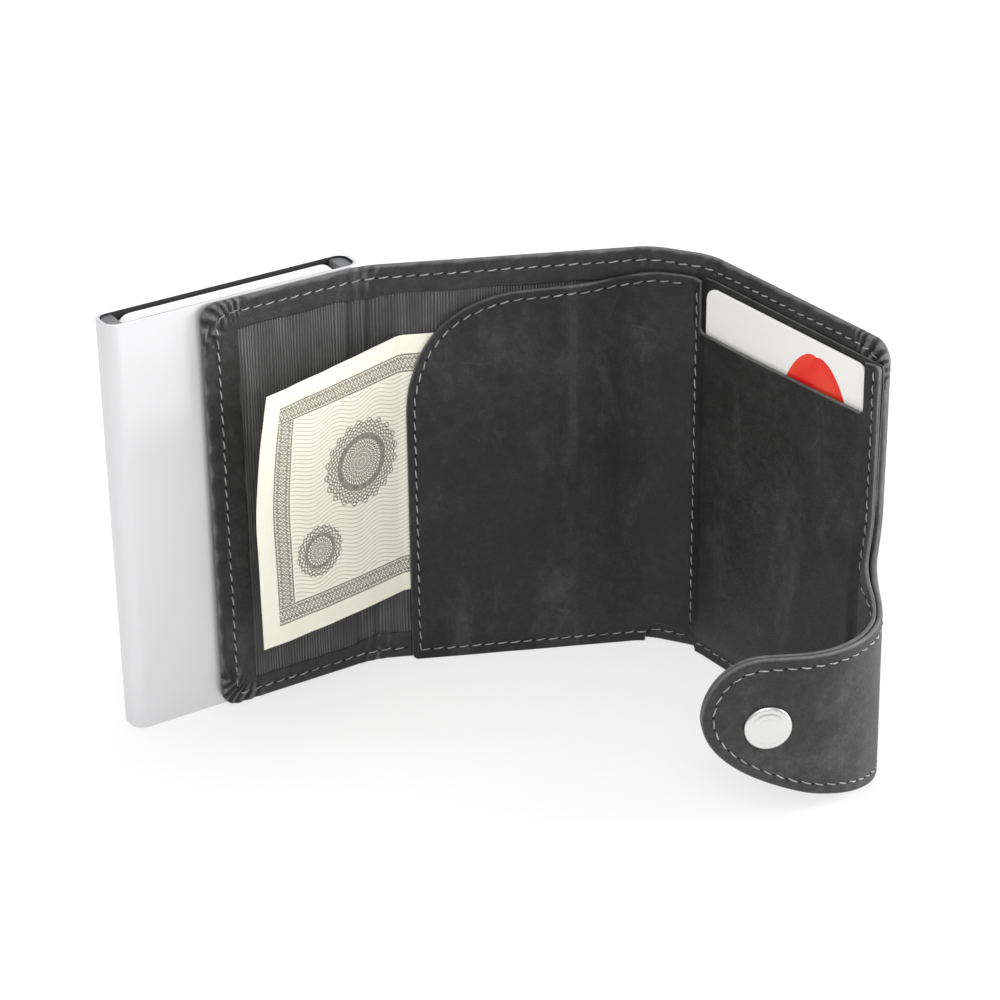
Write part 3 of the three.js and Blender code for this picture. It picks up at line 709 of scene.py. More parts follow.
def cloth_finish(name, base):
    """Ribbed lining cloth: the ribs' crests painted pale as a highlight and the hollows between the ribs
    painted dark as shade, crossed by threads, with dull blotches.
    """
    f = Finish(name)
    pattern = f.pattern()
    threads = f.bands("Z", 900.0, Vector=pattern, Distortion=1.2, Detail=1.0)
    blotch = f.noise(f.stretch(pattern, (1, 1, 0.35)), 150, 5, 0.65)
    # Painted highlight on the ribs' crests and painted shade in the hollows between them.
    colour = f.mix(f.wear_and_painted_light(), base * 0.45, base * 4.2)
    colour = f.mix(f.ramp(blotch, (0.4, 0.75), (0.62, 0)), colour, base * 0.7)
    colour = f.mix(f.times(threads, 0.3), colour, base * 0.4)
    normal = f.bump(f.noise(pattern, 2600, 2), 0.00005, 0.5, Normal=f.bump(threads, 0.00006, 0.8))
    return f.done(Base_Color=colour, Roughness=0.6, Normal=normal, Sheen_Weight=0.2, Sheen_Roughness=0.4)


def thread_finish(name, base):
    """Twisted thread, soiled here and there; the needle holes at its ends are painted nearly black as shade.
    """
    f = Finish(name)
    pattern = f.pattern()
    twist = f.bands("DIAGONAL", 1400.0, Vector=pattern)
    colour = f.mix(twist, base * 0.75, base * 1.15)
    colour = f.mix(f.ramp(f.noise(pattern, 220, 3), (0.42, 0), (0.66, 0.8)), colour, base * 0.4)
    # Painted shade: the needle-hole discs are painted nearly black.
    colour = f.mix(f.wear_and_painted_light(), colour, 0.006)
    return f.done(Base_Color=colour, Roughness=0.6, Normal=f.bump(twist, 0.00012, 0.8),
                  Specular_IOR_Level=0.25)


def plain_finish(name, base, rough, metal=0.0, spread=0.05, scale=400, depth=0.00002):
    """A moulded, pressed or brushed surface with slight variation of tone, gloss and height."""
    f = Finish(name)
    where = f.add("TexCoord", out=3)
    grain, wide = f.noise(where, scale), f.noise(where, 40)
    colour = f.mix(wide, [c * (1 - spread) for c in base], [min(1, c * (1 + spread)) for c in base])
    return f.done(Base_Color=colour, Roughness=f.times(grain, 0.12, rough - 0.06), Metallic=metal,
                  Normal=f.bump(grain, depth, 0.6))


# Sizes and colours

class WalletSizes(bpy.types.PropertyGroup):
    stitch_length: bpy.props.FloatProperty(
        name="Stitch length", description="Length of one visible stitch", default=0.0023, unit="LENGTH")
    stitch_gap: bpy.props.FloatProperty(
        name="Stitch gap", description="Leather between two stitches", default=0.0008, unit="LENGTH")
    thread_radius: bpy.props.FloatProperty(
        name="Thread radius", description="Half the thickness of the thread", default=0.00018, unit="LENGTH")
    rib_pitch: bpy.props.FloatProperty(
        name="Rib pitch", description="Distance between two ribs", default=0.0007, unit="LENGTH")
    rib_height: bpy.props.FloatProperty(
        name="Rib height", description="Height of a rib of the lining cloth", default=0.00016, unit="LENGTH")


class WalletColours(bpy.types.PropertyGroup):
    shell: bpy.props.FloatProperty(
        name="Shell leather", description="Brightness of the shell leather", default=0.027, subtype="FACTOR")
    # The strap is painted lighter than the shell it continues, as painted light.
    strap: bpy.props.FloatProperty(
        name="Strap leather", description="Brightness of the strap leather", default=0.033, subtype="FACTOR")
    front: bpy.props.FloatProperty(
        name="Inner leather", description="Brightness of the inner leather", default=0.0155, subtype="FACTOR")
    # The pale colour of scratches, smudges and worn edges, also used for the painted highlight on edges and
    # ridges.
    rubbed_and_lit: bpy.props.FloatProperty(
        name="Rubbed leather", description="Brightness of rubbed edges", default=0.15, subtype="FACTOR")
    lining: bpy.props.FloatProperty(
        name="Lining cloth", description="Brightness of the ribbed cloth", default=0.05, subtype="FACTOR")
    thread: bpy.props.FloatProperty(
        name="Thread", description="Brightness of the sewing thread", default=0.42, subtype="FACTOR")
    paper: bpy.props.FloatVectorProperty(
        name="Note paper", description="Colour of the paper", default=(0.84, 0.83, 0.7), subtype="COLOR")
    ink: bpy.props.FloatVectorProperty(
        name="Note ink", description="Colour of the print", default=(0.1, 0.085, 0.06), subtype="COLOR")
    card: bpy.props.FloatVectorProperty(
        name="Card", description="Colour of the plastic cards", default=(0.85, 0.84, 0.82), subtype="COLOR")
    accent: bpy.props.FloatVectorProperty(
        name="Card accent", description="Colour of the card's petals", default=(0.8, 0.006, 0.005),
        subtype="COLOR")
    aluminium: bpy.props.FloatVectorProperty(
        name="Aluminium", description="Colour of the case", default=(0.715, 0.715, 0.725), subtype="COLOR")
    floor: bpy.props.FloatProperty(
        name="Floor", description="Brightness of the floor", default=0.86, subtype="FACTOR")


def sizes():
    return bpy.context.scene.wallet_sizes


def colours():
    return bpy.context.scene.wallet_colours


FINISHES = {}


def finish_of(name):
    """A material by name, made once."""
    if name in FINISHES:
        return FINISHES[name]
    c = colours()
    grained = {
        "shell_leather": (leather_finish, c.shell, c.rubbed_and_lit),
        # The strap continues the shell and the inner leather, painted lighter than both as painted light
        # where it catches the light from the right.
        "strap_leather": (leather_finish, c.strap, c.rubbed_and_lit * 1.2),
        "front_leather": (leather_finish, c.front, c.rubbed_and_lit),
        "ribbed_cloth": (cloth_finish, c.lining),
        "sewing_thread": (thread_finish, c.thread),
    }
    # Colour, roughness, metal, spread of the tone, scale and depth of the grain
    plain = {
        "anodised_aluminium": (tuple(c.aluminium), 0.42, 0.55, 0.01, 1800, 0.00001),
        "snap_metal": ((0.74, 0.74, 0.73), 0.3, 1.0, 0.03, 900),
        "case_plastic": ((0.15, 0.152, 0.158), 0.5, 0, 0.1, 1500),
        # Painted shade: nearly black for the tube's inside faces.
        "case_inside": ((0.012, 0.012, 0.013), 0.6, 0, 0.2, 1500),
        "felt": ((0.09, 0.09, 0.1), 0.95, 0, 0.3, 3000, 0.0002),
        "spring_steel": ((0.5, 0.5, 0.52), 0.3, 1.0, 0.05, 700),
        "pad_adhesive": ((0.5, 0.5, 0.48), 0.7, 0, 0.08, 900, 0.00005),
        "card_plastic": (tuple(c.card), 0.34, 0, 0.015, 900, 0.00001),
    }
    maker, *values = grained[name] if name in grained else (plain_finish, *plain[name])
    FINISHES[name] = maker(name, *values)
    return FINISHES[name]


# Shell leather

def build_shell():
    leather = finish_of("shell_leather")
    left = merge(LEFT_EDGE + EDGE_STEPS, LEFT_EDGE + HEM_SIDE + HEM_STEPS,
                 columns(LEFT_EDGE + 4.2, LEFT_EDGE + 10, 0.4), columns(LEFT_EDGE + 10, BEND_LEFT.start, 1.6))
    right = merge(columns(BEND_RIGHT.end, 126, 1.6), columns(80.8, 81.6, 0.1), columns(126, ROOT_SPLIT, 0.35),
                  columns(128.7, 130.8, 0.11))
    # Columns, or the step between them, and the solid that the piece stands for
    plan = [(left, "panel_left"), (0.35, "fold_left"), (1.6, "panel_middle"), (0.4, "fold_spine"),
            (0.8, "panel_spine"), (0.4, "fold_right"), (right, "panel_right")]
    for (label, start, end, on), (us, node) in zip(STRETCHES, plan):
        if np.ndim(us) == 0:
            us = columns(start, end, us, LINING_END + HEM_STEPS if label == "middle" else ())
        block = grid(us, SHELL_LOW, SHELL_TOP, hem_rows(us, hem_low), hem_rows(us, hem_high))
        leather_piece("shell_" + label, SHELL, [block], leather, on, ["shell_" + node])


# Strap

RIM_STEPS = EDGE_STEPS[EDGE_STEPS <= 1.3]
ROOT_COLUMNS = merge([ROOT_SPLIT], RIGHT_EDGE - RIM_STEPS)
ROOT_COLUMNS = ROOT_COLUMNS[ROOT_COLUMNS >= ROOT_SPLIT]


def root_blocks(top_line, top_rows):
    """The strap's root: a narrow band up the right panel's edge, and the strap itself down to its middle."""
    flare_top = STRAP_HIGH + FLARE + 0.4
    flare = merge(ROOT_COLUMNS, RIGHT_EDGE + RIM_STEPS, columns(RIGHT_EDGE + 1.3, RIGHT_EDGE + FLARE, 0.4),
                  columns(RIGHT_EDGE + FLARE, STRAP_MIDDLE, 0.6))
    top = np.where(flare <= RIGHT_EDGE, flare_top, line_at(STRAP_TOP, flare))
    return [grid(ROOT_COLUMNS, flare_top, top_line, OPEN, top_rows), grid(flare, SHELL_LOW, top, step=1.2)]


def build_strap():
    leather = finish_of("strap_leather")
    us = merge(columns(STRAP_MIDDLE, TIP_END - 6, 0.6), TIP_END - 6 * np.linspace(1, 0, 26) ** 2)
    tip = [grid(us, SHELL_LOW, STRAP_TOP, step=1.2)]
    shell_root = root_blocks(SHELL_TOP, hem_rows(ROOT_COLUMNS, hem_high))
    for name, layer, blocks, on, nodes in (
            ("strap_root", SHELL, shell_root, ROOT_ON, ["strap_fold_root", "strap_neck_leather"]),
            ("strap_tip", SHELL, tip, TIP_ON, ["strap_fold_tip", "strap_tip_leather"]),
            ("strap_lining_root", FRONT, root_blocks(STRIP_TOP, EDGE_STEPS), ROOT_ON, ["strap_neck_lining"]),
            ("strap_lining_tip", FRONT, tip, TIP_ON, ["strap_tip_lining"])):
        leather_piece(name, layer, blocks, leather, on, nodes)


# Inner leather, pocket and backing

def build_front():
    leather = finish_of("front_leather")
    rim = EDGE_STEPS[:8]
    us = merge(FRONT_START + EDGE_STEPS, columns(FRONT_START + 4.2, 30, 0.6),
               columns(30, BEND_SPINE.start, 1.4))
    leather_piece("front_middle", FRONT, [grid(us, FRONT_LOW, FRONT_TOP)], leather, "middle_panel",
                  ["inner_leather_middle"])
    us = columns(BEND_SPINE.start, BEND_SPINE.end, 0.3, [65.2, 65.23, 65.3, 65.4, 65.5])
    leather_piece("front_bend_spine", FRONT, [grid(us, FRONT_LOW, FRONT_TOP)], leather, BEND_SPINE.on)
    us = columns(BEND_SPINE.end, BEND_RIGHT.start, 0.5)
    leather_piece("front_spine", FRONT, [grid(us, FRONT_LOW, FRONT_TOP)], leather, "spine",
                  ["inner_leather_spine"])
    us = columns(BEND_RIGHT.start, BEND_RIGHT.end, 0.3,
                 [*(WINDOW_LEFT - rim), WINDOW_LEFT + 0.03, WINDOW_LEFT + 0.1, WINDOW_LEFT + 0.3])
    side = us[us <= WINDOW_LEFT]
    blocks = [grid(us, FRONT_LOW, np.where(us <= WINDOW_LEFT, POCKET_LIP, line_at(WINDOW[1:], us))),
              grid(side, POCKET_LIP, FRONT_TOP, OPEN)]
    leather_piece("front_bend_right", FRONT, blocks, leather, BEND_RIGHT.on)
    us = merge(columns(BEND_RIGHT.end, SIDE_STRIP, 1.4), columns(SIDE_STRIP - 1.2, SIDE_STRIP, 0.2))
    strip = merge(SIDE_STRIP + rim, columns(SIDE_STRIP + 1.3, ROOT_SPLIT, 0.3))
    blocks = [grid(us, FRONT_LOW, WINDOW[1:-1]), grid(strip, FRONT_LOW, POCKET_LIP),
              grid(strip, POCKET_LIP, BACKING_TOP, OPEN)]
    leather_piece("pocket_leather", FRONT, blocks, leather, "right_panel", ["pocket_front", "pocket_side"])
    us = columns(RIGHT_FOLD + 0.3, BACKING_STEP, 1.6)
    edge = merge(columns(BACKING_STEP, RIGHT_EDGE - 1.3, 0.8), RIGHT_EDGE - rim)
    blocks = [grid(us, BACKING_FOOT, BACKING_TOP), grid(edge, STRAP_FADE, STRIP_TOP)]
    leather_piece("pocket_backing_leather", BACKING, blocks, leather, "right_panel", ["pocket_backing"])


# Ribbed lining

def build_lining():
    pitch, height = sizes().rib_pitch / MM, sizes().rib_height / MM
    start, end = LEFT_EDGE + HEM_SIDE - 0.5, LINING_END + 0.3
    us = np.linspace(start, end, int(round((end - start) / pitch)) * 6 + 1)
    low, high = hem_low(us) - 0.5, HEIGHT - hem_high(us) + 0.5
    up = np.linspace(0, 1, 34)
    u, z = np.repeat(us[:, None], len(up), 1), low[:, None] + (high - low)[:, None] * up
    phase = u + 0.09 * np.sin(u * 1.9 + z * 0.05) + 0.06 * np.sin(z * 0.21 + u * 0.6)
    wave = 0.5 + 0.5 * np.cos(phase / pitch * math.tau)
    near = bell(u, -1.5, 5.5) + 0.35 * bell(u, 9.5, 1.6)
    bunch = np.sin(u * 1.35 + 0.9 * np.sin(z * 0.09)) + 0.5 * np.sin(u * 2.9 + 0.8 * np.sin(z * 0.16 + 1))
    strength = 0.85 + 0.15 * np.sin(u * 0.83 + 1.7 * np.sin(u * 0.31 + 0.04 * z))
    strength = np.clip(strength - 0.55 * near * np.clip(bunch, 0, 1.5), 0, 1)
    y = LINING_FACE + 0.27 * near * bunch - height * (wave * strength - 0.5)
    pattern = np.stack([u, y, z], -1).reshape(-1, 3) * MM
    # Painted highlight: the ribs' crests, in full where the ribs stand out, are painted pale in the cloth's
    # colour.
    painted_rib_light = (wave ** 2 * strength).ravel()
    piece = make_object("lining_ribbed_cloth", place(u, y, z).reshape(-1, 3), quads(*u.shape),
                        finish_of("ribbed_cloth"), [("pattern", pattern), ("wear_and_painted_light", painted_rib_light)])
    attach(piece, BEND_LEFT.on, ["lining_left", "lining_middle"])


# Stitching

RINGS, SIDES, RIM = 7, 6, 8      # rings along a stitch, points round a ring, points round a needle hole


def along_path(path, pitch):
    """Places a pitch apart along a line of the pattern, and the line as a function of the run."""
    path = np.array(path, float)
    run = np.concatenate([[0], np.cumsum(np.hypot(*np.diff(path, axis=0).T))])
    at = pitch * (np.arange(int(run[-1] / pitch)) + 0.5)
    return at, lambda s: np.stack([np.interp(s, run, path[:, 0]), np.interp(s, run, path[:, 1])], -1)


def stitch_mesh(name, path, face, side, on, first, last, seed):
    """One row of stitches and needle holes between two places along the pattern; side is -1 inside."""
    random = np.random.default_rng(seed)
    length, gap, radius = (v / MM for v in (sizes().stitch_length, sizes().stitch_gap, sizes().thread_radius))
    at, where = along_path(path, length + gap)
    along = np.linspace(-0.5, 0.5, RINGS)
    rise = np.cos(along * math.pi)
    turns, rim = (np.arange(n) / n * math.tau for n in (SIDES, RIM))
    thread = RINGS * SIDES
    count = thread + RIM + 1
    points, faces, pattern = [], [], []
    for s in at:
        line = where(s + along * length * random.uniform(0.9, 1.04))
        if not first <= line[RINGS // 2, 0] < last:
            continue
        heading = line[-1] - line[0]
        heading /= np.hypot(*heading)
        across = np.array([-heading[1], heading[0]])
        line = line + np.multiply.outer(along * 0.3 + random.normal(0, 0.04), across)
        thick = radius * (0.6 + 0.4 * rise) * random.uniform(0.9, 1.1)
        base = face(line[:, 0], line[:, 1]) + side * (thick * 0.8 * rise - radius * 0.4 * (1 - rise))
        swing = np.cos(turns)[None] * thick[:, None]
        y = (base[:, None] + side * np.sin(turns)[None] * thick[:, None] * 0.8).ravel()
        ring = (line[:, None] + swing[..., None] * across).reshape(-1, 2)
        centre = where(np.array([s + 0.5 * (length + gap)]))
        # The needle hole is a flat disc on the leather, painted nearly black as shade.
        oval = 0.4 * np.outer(np.cos(rim), heading) + 0.24 * np.outer(np.sin(rim), across)
        hole = np.vstack([centre + oval, centre])
        (u, z), y = np.vstack([ring, hole]).T, np.append(y, face(*hole.T) + side * 0.025)
        start = len(points) * count
        points.append(place(u, y, z))
        pattern.append(np.stack([u, y, z], -1) * MM)
        index = start + np.arange(thread).reshape(RINGS, SIDES)
        faces += ring_faces(index).tolist() + [index[0].tolist(), index[-1][::-1].tolist()]
        faces += [[start + thread + i, start + thread + (i + 1) % RIM, start + count - 1] for i in range(RIM)]
    if points:
        wear_and_painted_light = np.tile(np.arange(count) >= thread, len(points))
        piece = make_object(name, np.vstack(points), faces, finish_of("sewing_thread"),
                            [("pattern", np.vstack(pattern)), ("wear_and_painted_light", wear_and_painted_light)])
        attach(piece, on)


def stitch_row(name, path, face, side, start=LEFT_EDGE, end=TIP_END, *, seed):
    """A row of stitches that crosses the folds, as one piece for each panel and bend."""
    for label, low, high, on in STRETCHES:
        if high > start and low < end:
            stitch_mesh(f"{name}_{label}", path, face, side, on, max(low, start), min(high, end), seed)


TOP_ROW = np.vstack([
    arc(LEFT_EDGE + 6.4, HEIGHT - 6.4, 3.5, 1.6, 1, 6),
    [(RIGHT_EDGE - 5.2, HEIGHT - SEAM)],
    arc(RIGHT_EDGE - 5.4, HEIGHT - 5.4, 2.5, 1, 0, 6),
    [(RIGHT_EDGE - SEAM, HEIGHT - 7)],
])
LEFT_ROW = [(LEFT_EDGE + 3.6, HEIGHT - 5), (LEFT_EDGE + 3.6, 3.4)]
LOW_ROW = [(LEFT_EDGE + 4.2, 2.7), (RIGHT_EDGE - 6, 2.7)]
SPINE_ROW = [(77.0, 94.4), (77.0, 4.6)]
STRIP_ROW = [(136.1, BACKING_TOP - 1), (136.1, 44)]


def inset(line, distance):
    """The line moved to its left by the distance."""
    step = np.gradient(line, axis=0)
    step /= np.hypot(*step.T)[:, None]
    return line + distance * np.stack([-step[:, 1], step[:, 0]], 1)


def strap_path():
    outline = np.vstack([STRAP_FOOT[:-1], TIP_LOW, TIP_HIGH[::-1][1:], [(RIGHT_EDGE + FLARE, STRAP_HIGH)],
                         arc(RIGHT_EDGE + FLARE, STRAP_HIGH + FLARE, FLARE, 3, 2.2, 8)])
    fine = [outline[0]]
    for a, b in zip(outline[:-1], outline[1:]):
        count = max(1, int(np.hypot(*(b - a)) / 0.8))
        fine += [a + (b - a) * k / count for k in range(1, count + 1)]
    return inset(np.array(fine), 2.6)


def build_stitching():
    inside, outside, front = SHELL.inner_face, SHELL.outer_face, FRONT.inner_face
    for name, face, side in (("hem_stitches_in", inside, -1), ("hem_stitches_out", outside, 1)):
        stitch_row(name + "_top", TOP_ROW, face, side, seed=2)
        stitch_row(name + "_left", LEFT_ROW, face, side, seed=3)
    stitch_row("hem_stitches_low", LOW_ROW, inside, -1, end=FRONT_START - 0.5, seed=4)
    stitch_row("hem_stitches_notch", LOW_ROW, inside, -1, 65.6, 77.6, seed=4)
    stitch_row("hem_stitches_out_low", LOW_ROW, outside, 1, seed=5)
    stitch_row("front_stitches_low", LOW_ROW, front, -1, FRONT_START + 0.5, 65.2, seed=6)
    stitch_row("pocket_stitches_low", LOW_ROW, front, -1, 78.6, RIGHT_EDGE - 5.4, seed=7)
    edge = np.vstack([[(FRONT_START, 2.0)], FRONT_TOP[:-10]])
    stitch_row("front_stitches_edge", inset(edge, -1.9), front, -1, seed=8)
    stitch_row("spine_stitches", SPINE_ROW, front, -1, seed=9)
    stitch_row("strip_stitches", STRIP_ROW, front, -1, seed=11)
    stitch_row("strap_stitches_out", strap_path(), outside, 1, RIGHT_EDGE - 4, seed=12)
    stitch_row("strap_stitches_in", strap_path(), front, -1, RIGHT_EDGE - 4, seed=13)


# Snap fastener

def turned(name, profile, centre_u, panel, body, node, steps=64):
    """A turned part about a line across the leather; the profile holds radius and depth."""
    radius, depth = np.array(profile, float).T
    turn = np.arange(steps) / steps * math.tau
    u = centre_u + radius[:, None] * np.cos(turn)
    z = SNAP_HEIGHT + radius[:, None] * np.sin(turn)
    plan = panel.plan(u, np.repeat(depth[:, None], steps, 1))
    points = np.concatenate([plan, z[..., None]], -1).reshape(-1, 3) * MM
    index = np.arange(len(radius) * steps).reshape(-1, steps)
    points, faces, _ = weld(points, ring_faces(index)[:, [0, 3, 2, 1]])
    attach(make_object(name, points, faces, finish_of("snap_metal")), body, [node])


def build_snap():
    base = STRAP_OUT + 0.1
    cap = [(0, STRAP_IN), (1.5, STRAP_IN), (1.5, base)] + [(r, base + d) for r, d in (
        (4.9, 0), (5.2, 0.06), (5.3, 0.22), (5.25, 0.42), (5.05, 0.6), (4.7, 0.76), (4.3, 0.84), (4.12, 0.74),
        (3.95, 0.76), (3.75, 0.9), (3.1, 1.06), (2.9, 1.0), (2.75, 1.05), (2.0, 1.2), (1.0, 1.26), (0, 1.28))]
    turned("snap_cap_metal", cap, SNAP_PLACE, TIP, "strap_tip", "snap_cap")
    back = STRAP_IN - 0.1
    mouth = back - 1.7
    socket = [(r, mouth + d) for r, d in (
        (0, 1.4), (2.9, 1.4), (3.1, 1.2), (3.1, 0.1), (3.2, 0), (5.1, 0), (5.35, 0.15), (5.4, 0.4))]
    socket += [(5.4, back), (0, back)]
    turned("snap_socket_metal", socket, SNAP_PLACE, TIP, "strap_tip", "snap_socket")
    stud = [(r, THICK + 0.1 + d) for r, d in (
        (0, 0), (4.8, 0), (5, 0.15), (4.85, 0.42), (4.4, 0.5), (2.3, 0.55), (2.0, 0.7), (2.1, 0.95),
        (2.38, 1.2), (2.3, 1.55), (1.95, 1.75), (1.4, 1.8), (1.2, 1.6), (0, 1.55))]
    turned("snap_stud_metal", stud, STUD_PLACE, MIDDLE, "middle_panel", "snap_stud")


# Banknote and cards

def note_finish():
    """Cream paper with a generic engraved print: braided bands, two rosettes and waved hairlines."""
    f = Finish("note_paper")
    paper, ink = tuple(colours().paper), tuple(colours().ink)
    where = f.pattern()
    x, y = f.pattern_in_mm()
    height = NOTE_TOP - NOTE_FOOT
    border, bound = 7.0, 9.4                # middle of the border bands, and where the field starts

    def between(value, low, high):
        return f.times(f.above(value, low), f.below(value, high))

    def wave(value, scale, shift=0.0):
        return f.math("SINE", f.times(value, scale, shift))

    def line(value, half):
        return f.below(f.math("ABSOLUTE", value), half)

    def union(first, *others):
        for other in others:
            first = f.math("MAXIMUM", first, other)
        return first

    def braid(along, across, middle):
        """A band of three crossing waves between two rules, over a fine hatching."""
        off = f.minus(across, middle)
        strands = [line(f.minus(off, f.times(wave(along, 2.0, shift), 1.35)), 0.3)
                   for shift in (0.0, 2.1, 4.2)]
        hatch = f.times(f.above(wave(f.math("ADD", along, off), 9.0), -0.1), 0.75)
        rules = line(f.minus(f.math("ABSOLUTE", off), 2.1), 0.2)
        return f.times(line(off, 2.3), union(hatch, rules, *strands))

    def rosette(cx, cy, size, petals):
        """The disc that a rosette covers, and its interlaced rings."""
        dx, dy = f.minus(x, cx), f.minus(y, cy)
        far = f.math("SQRT", f.times(dx, dx, f.times(dy, dy)))
        swing = wave(f.math("ARCTAN2", dy, dx), float(petals))
        disc = f.below(far, f.times(swing, 0.05 * size, size))
        rings = [f.above(wave(f.times(swing, turn, far), 6.2), limit)
                 for turn, limit in ((0.5, 0.0), (-0.5, 0.4))]
        return disc, f.times(disc, union(*rings, line(f.minus(far, 0.62 * size), 0.07 * size)))

    inner = f.above(x, 4.6)
    art = union(f.times(inner, braid(x, y, border)), f.times(inner, braid(x, y, height - border)),
                f.times(between(y, bound, height - bound), braid(y, x, border - 0.1)))
    field = f.times(f.above(x, 9.6), between(y, bound + 0.4, height - bound - 0.4))
    hair = f.above(wave(f.times(wave(x, 0.5), 0.9, y), 6.0), 0.7)
    art = union(art, f.times(f.times(field, hair), 0.5))
    for disc, rings in (rosette(17.0, 20.0, 6.4, 12), rosette(30.0, 38.5, 10.5, 20)):
        art = union(f.times(art, f.minus(1.0, disc)), rings)
    art = f.times(art, f.times(f.noise(where, 900), 0.6, 0.5), clamp=True)
    fibre = f.noise(where, 700, 4)
    ground = f.mix(fibre, paper, [min(1.0, v * 1.08) for v in paper])
    return f.done(Base_Color=f.mix(art, ground, ink), Roughness=0.8, Normal=f.bump(fibre, 0.00006, 0.5))


# Parts of the free note: name, where it starts, and its share of the left fold's turn there
NOTE_KNOTS = [("bend", 0, 1.0), ("turn", -6.4, 0.6), ("lift", -11.5, 0.355), ("free", -19.0, 0.262),
              ("", NOTE_LEFT, 0.218)]
NOTE_END = smooth_line([(NOTE_FOOT, -10.2), (39.8, -9.8), (52.7, -9.6), (67.6, -11.7), (77, -13.6),
                        (NOTE_TOP, -15.3)], 8)      # height, and depth of the free end before the left panel
NOTE_LEVEL = 52.0           # the height at which the shares hold


def note_plan(s, z):
    """The note in plan: s is 0 at its bend, negative on the free side and positive inside the compartment."""
    bend = MIDDLE.plan(NOTE_BEND, NOTE_DEPTH)
    x0, y0 = bend - LEFT.origin
    end_y = line_at(NOTE_END, z)
    end_x = x0 - np.sqrt(NOTE_LEFT ** 2 - (end_y - y0) ** 2)

    def straight(run):
        t = np.clip(run / NOTE_LEFT, 0, 1)
        bow = (0.75 - 0.5 * ease(z, 45, NOTE_TOP)) * 4 * t * (1 - t)
        bow = bow + 0.12 * np.sin(run * 0.55 + z * 0.11) * t
        free = LEFT.plan(x0 + (end_x - x0) * t, y0 + (end_y - y0) * t - bow)
        hidden = MIDDLE.plan(NOTE_BEND + np.maximum(run, 0), np.full(run.shape, NOTE_DEPTH))
        return np.where((run < 0)[..., None], free, hidden)

    t = np.clip((s + NOTE_ROUND) / (2 * NOTE_ROUND), 0, 1)[..., None]
    before, after = straight(np.full(s.shape, -NOTE_ROUND)), straight(np.full(s.shape, NOTE_ROUND))
    rounded = before * (1 - t) ** 2 + 2 * bend * t * (1 - t) + after * t * t
    return np.where((np.abs(s) < NOTE_ROUND)[..., None], rounded, straight(s))


def note_piece(name, runs, finish):
    s, z = np.meshgrid(runs, np.linspace(NOTE_FOOT, NOTE_TOP, 40), indexing="ij")
    front = note_plan(s, z)
    heading = np.gradient(front, axis=0)
    heading /= np.linalg.norm(heading, axis=-1, keepdims=True)
    back = front + NOTE_THICK * np.stack([-heading[..., 1], heading[..., 0]], -1)
    pattern = np.stack([s - NOTE_LEFT, np.zeros_like(s), z - NOTE_FOOT], -1).reshape(-1, 3) * MM
    points = np.vstack([np.dstack([side, z]).reshape(-1, 3) * MM for side in (front, back)])
    index = np.arange(s.size).reshape(s.shape)
    rim = np.concatenate([index[:, 0], index[-1, 1:], index[::-1, -1][1:], index[0, ::-1][1:]])
    faces = [quads(*s.shape), quads(*s.shape, s.size, flip=True),
             np.stack([rim[:-1], rim[:-1] + s.size, rim[1:] + s.size, rim[1:]], -1)]
    pattern = np.vstack([pattern, pattern * [-1, 1, 1] + [0.13, 0.01, 0]])
    return sharpen(make_object(name, points, np.vstack(faces), finish, [("pattern", pattern)]))


def note_blend(piece, at):
    """Bakes a part of the note's transform; the note's plan at one place is worked out but nothing bends it.
    """
    near, far = note_plan(np.array([at, at - 1.0]), np.full(2, NOTE_LEVEL))
    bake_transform(piece)


def build_note():
    paper = note_finish()
    hidden = note_piece("banknote_hidden_paper", columns(0, NOTE_RIGHT, 2.0, [0.4, 0.8, 1.2, 1.6]), paper)
    attach(hidden, "middle_panel", ["banknote"])
    for (name, near, high), (_, far, low) in zip(NOTE_KNOTS, NOTE_KNOTS[1:]):
        piece = note_piece(f"banknote_{name}_paper", columns(far, near, 0.5), paper)
        at, share = (far, low) if name == "bend" else (near, high)
        note_blend(piece, at)


def rounded_rectangle(x0, y0, x1, y1, radius, steps=8):
    corners = [(x0 + radius, y0 + radius, 2), (x1 - radius, y0 + radius, 3), (x1 - radius, y1 - radius, 0),
               (x0 + radius, y1 - radius, 1)]
    return np.vstack([arc(cx, cy, radius, q, q + 1, steps) for cx, cy, q in corners])


def loft(rings):
    """Points in metres and faces through rings of points in millimetres of the row frame."""
    index = np.arange(len(rings) * len(rings[0])).reshape(len(rings), -1)
    return np.vstack(rings) * MM, ring_faces(index), index


def rings_solid(name, rings, material):
    points, faces, index = loft(rings)
    return make_object(name, points, faces.tolist() + [index[0][::-1].tolist(), index[-1].tolist()], material)


def card_solid(name, panel, x0, z0, y0, material):
    rings = []
    for inward, depth in ((0.12, 0.0), (0.0, 0.1), (0.0, CARD_THICK - 0.1), (0.12, CARD_THICK)):
        ring = rounded_rectangle(x0 + inward, z0 + inward, x0 + CARD_WIDTH - inward,
                                 z0 + CARD_HEIGHT - inward, CARD_ROUND - inward)
        plan = panel.plan(panel.u0 + ring[:, 0], np.full(len(ring), y0 + depth))
        rings.append(np.column_stack([plan, ring[:, 1]]))
    return sharpen(rings_solid(name, rings, material), 30)


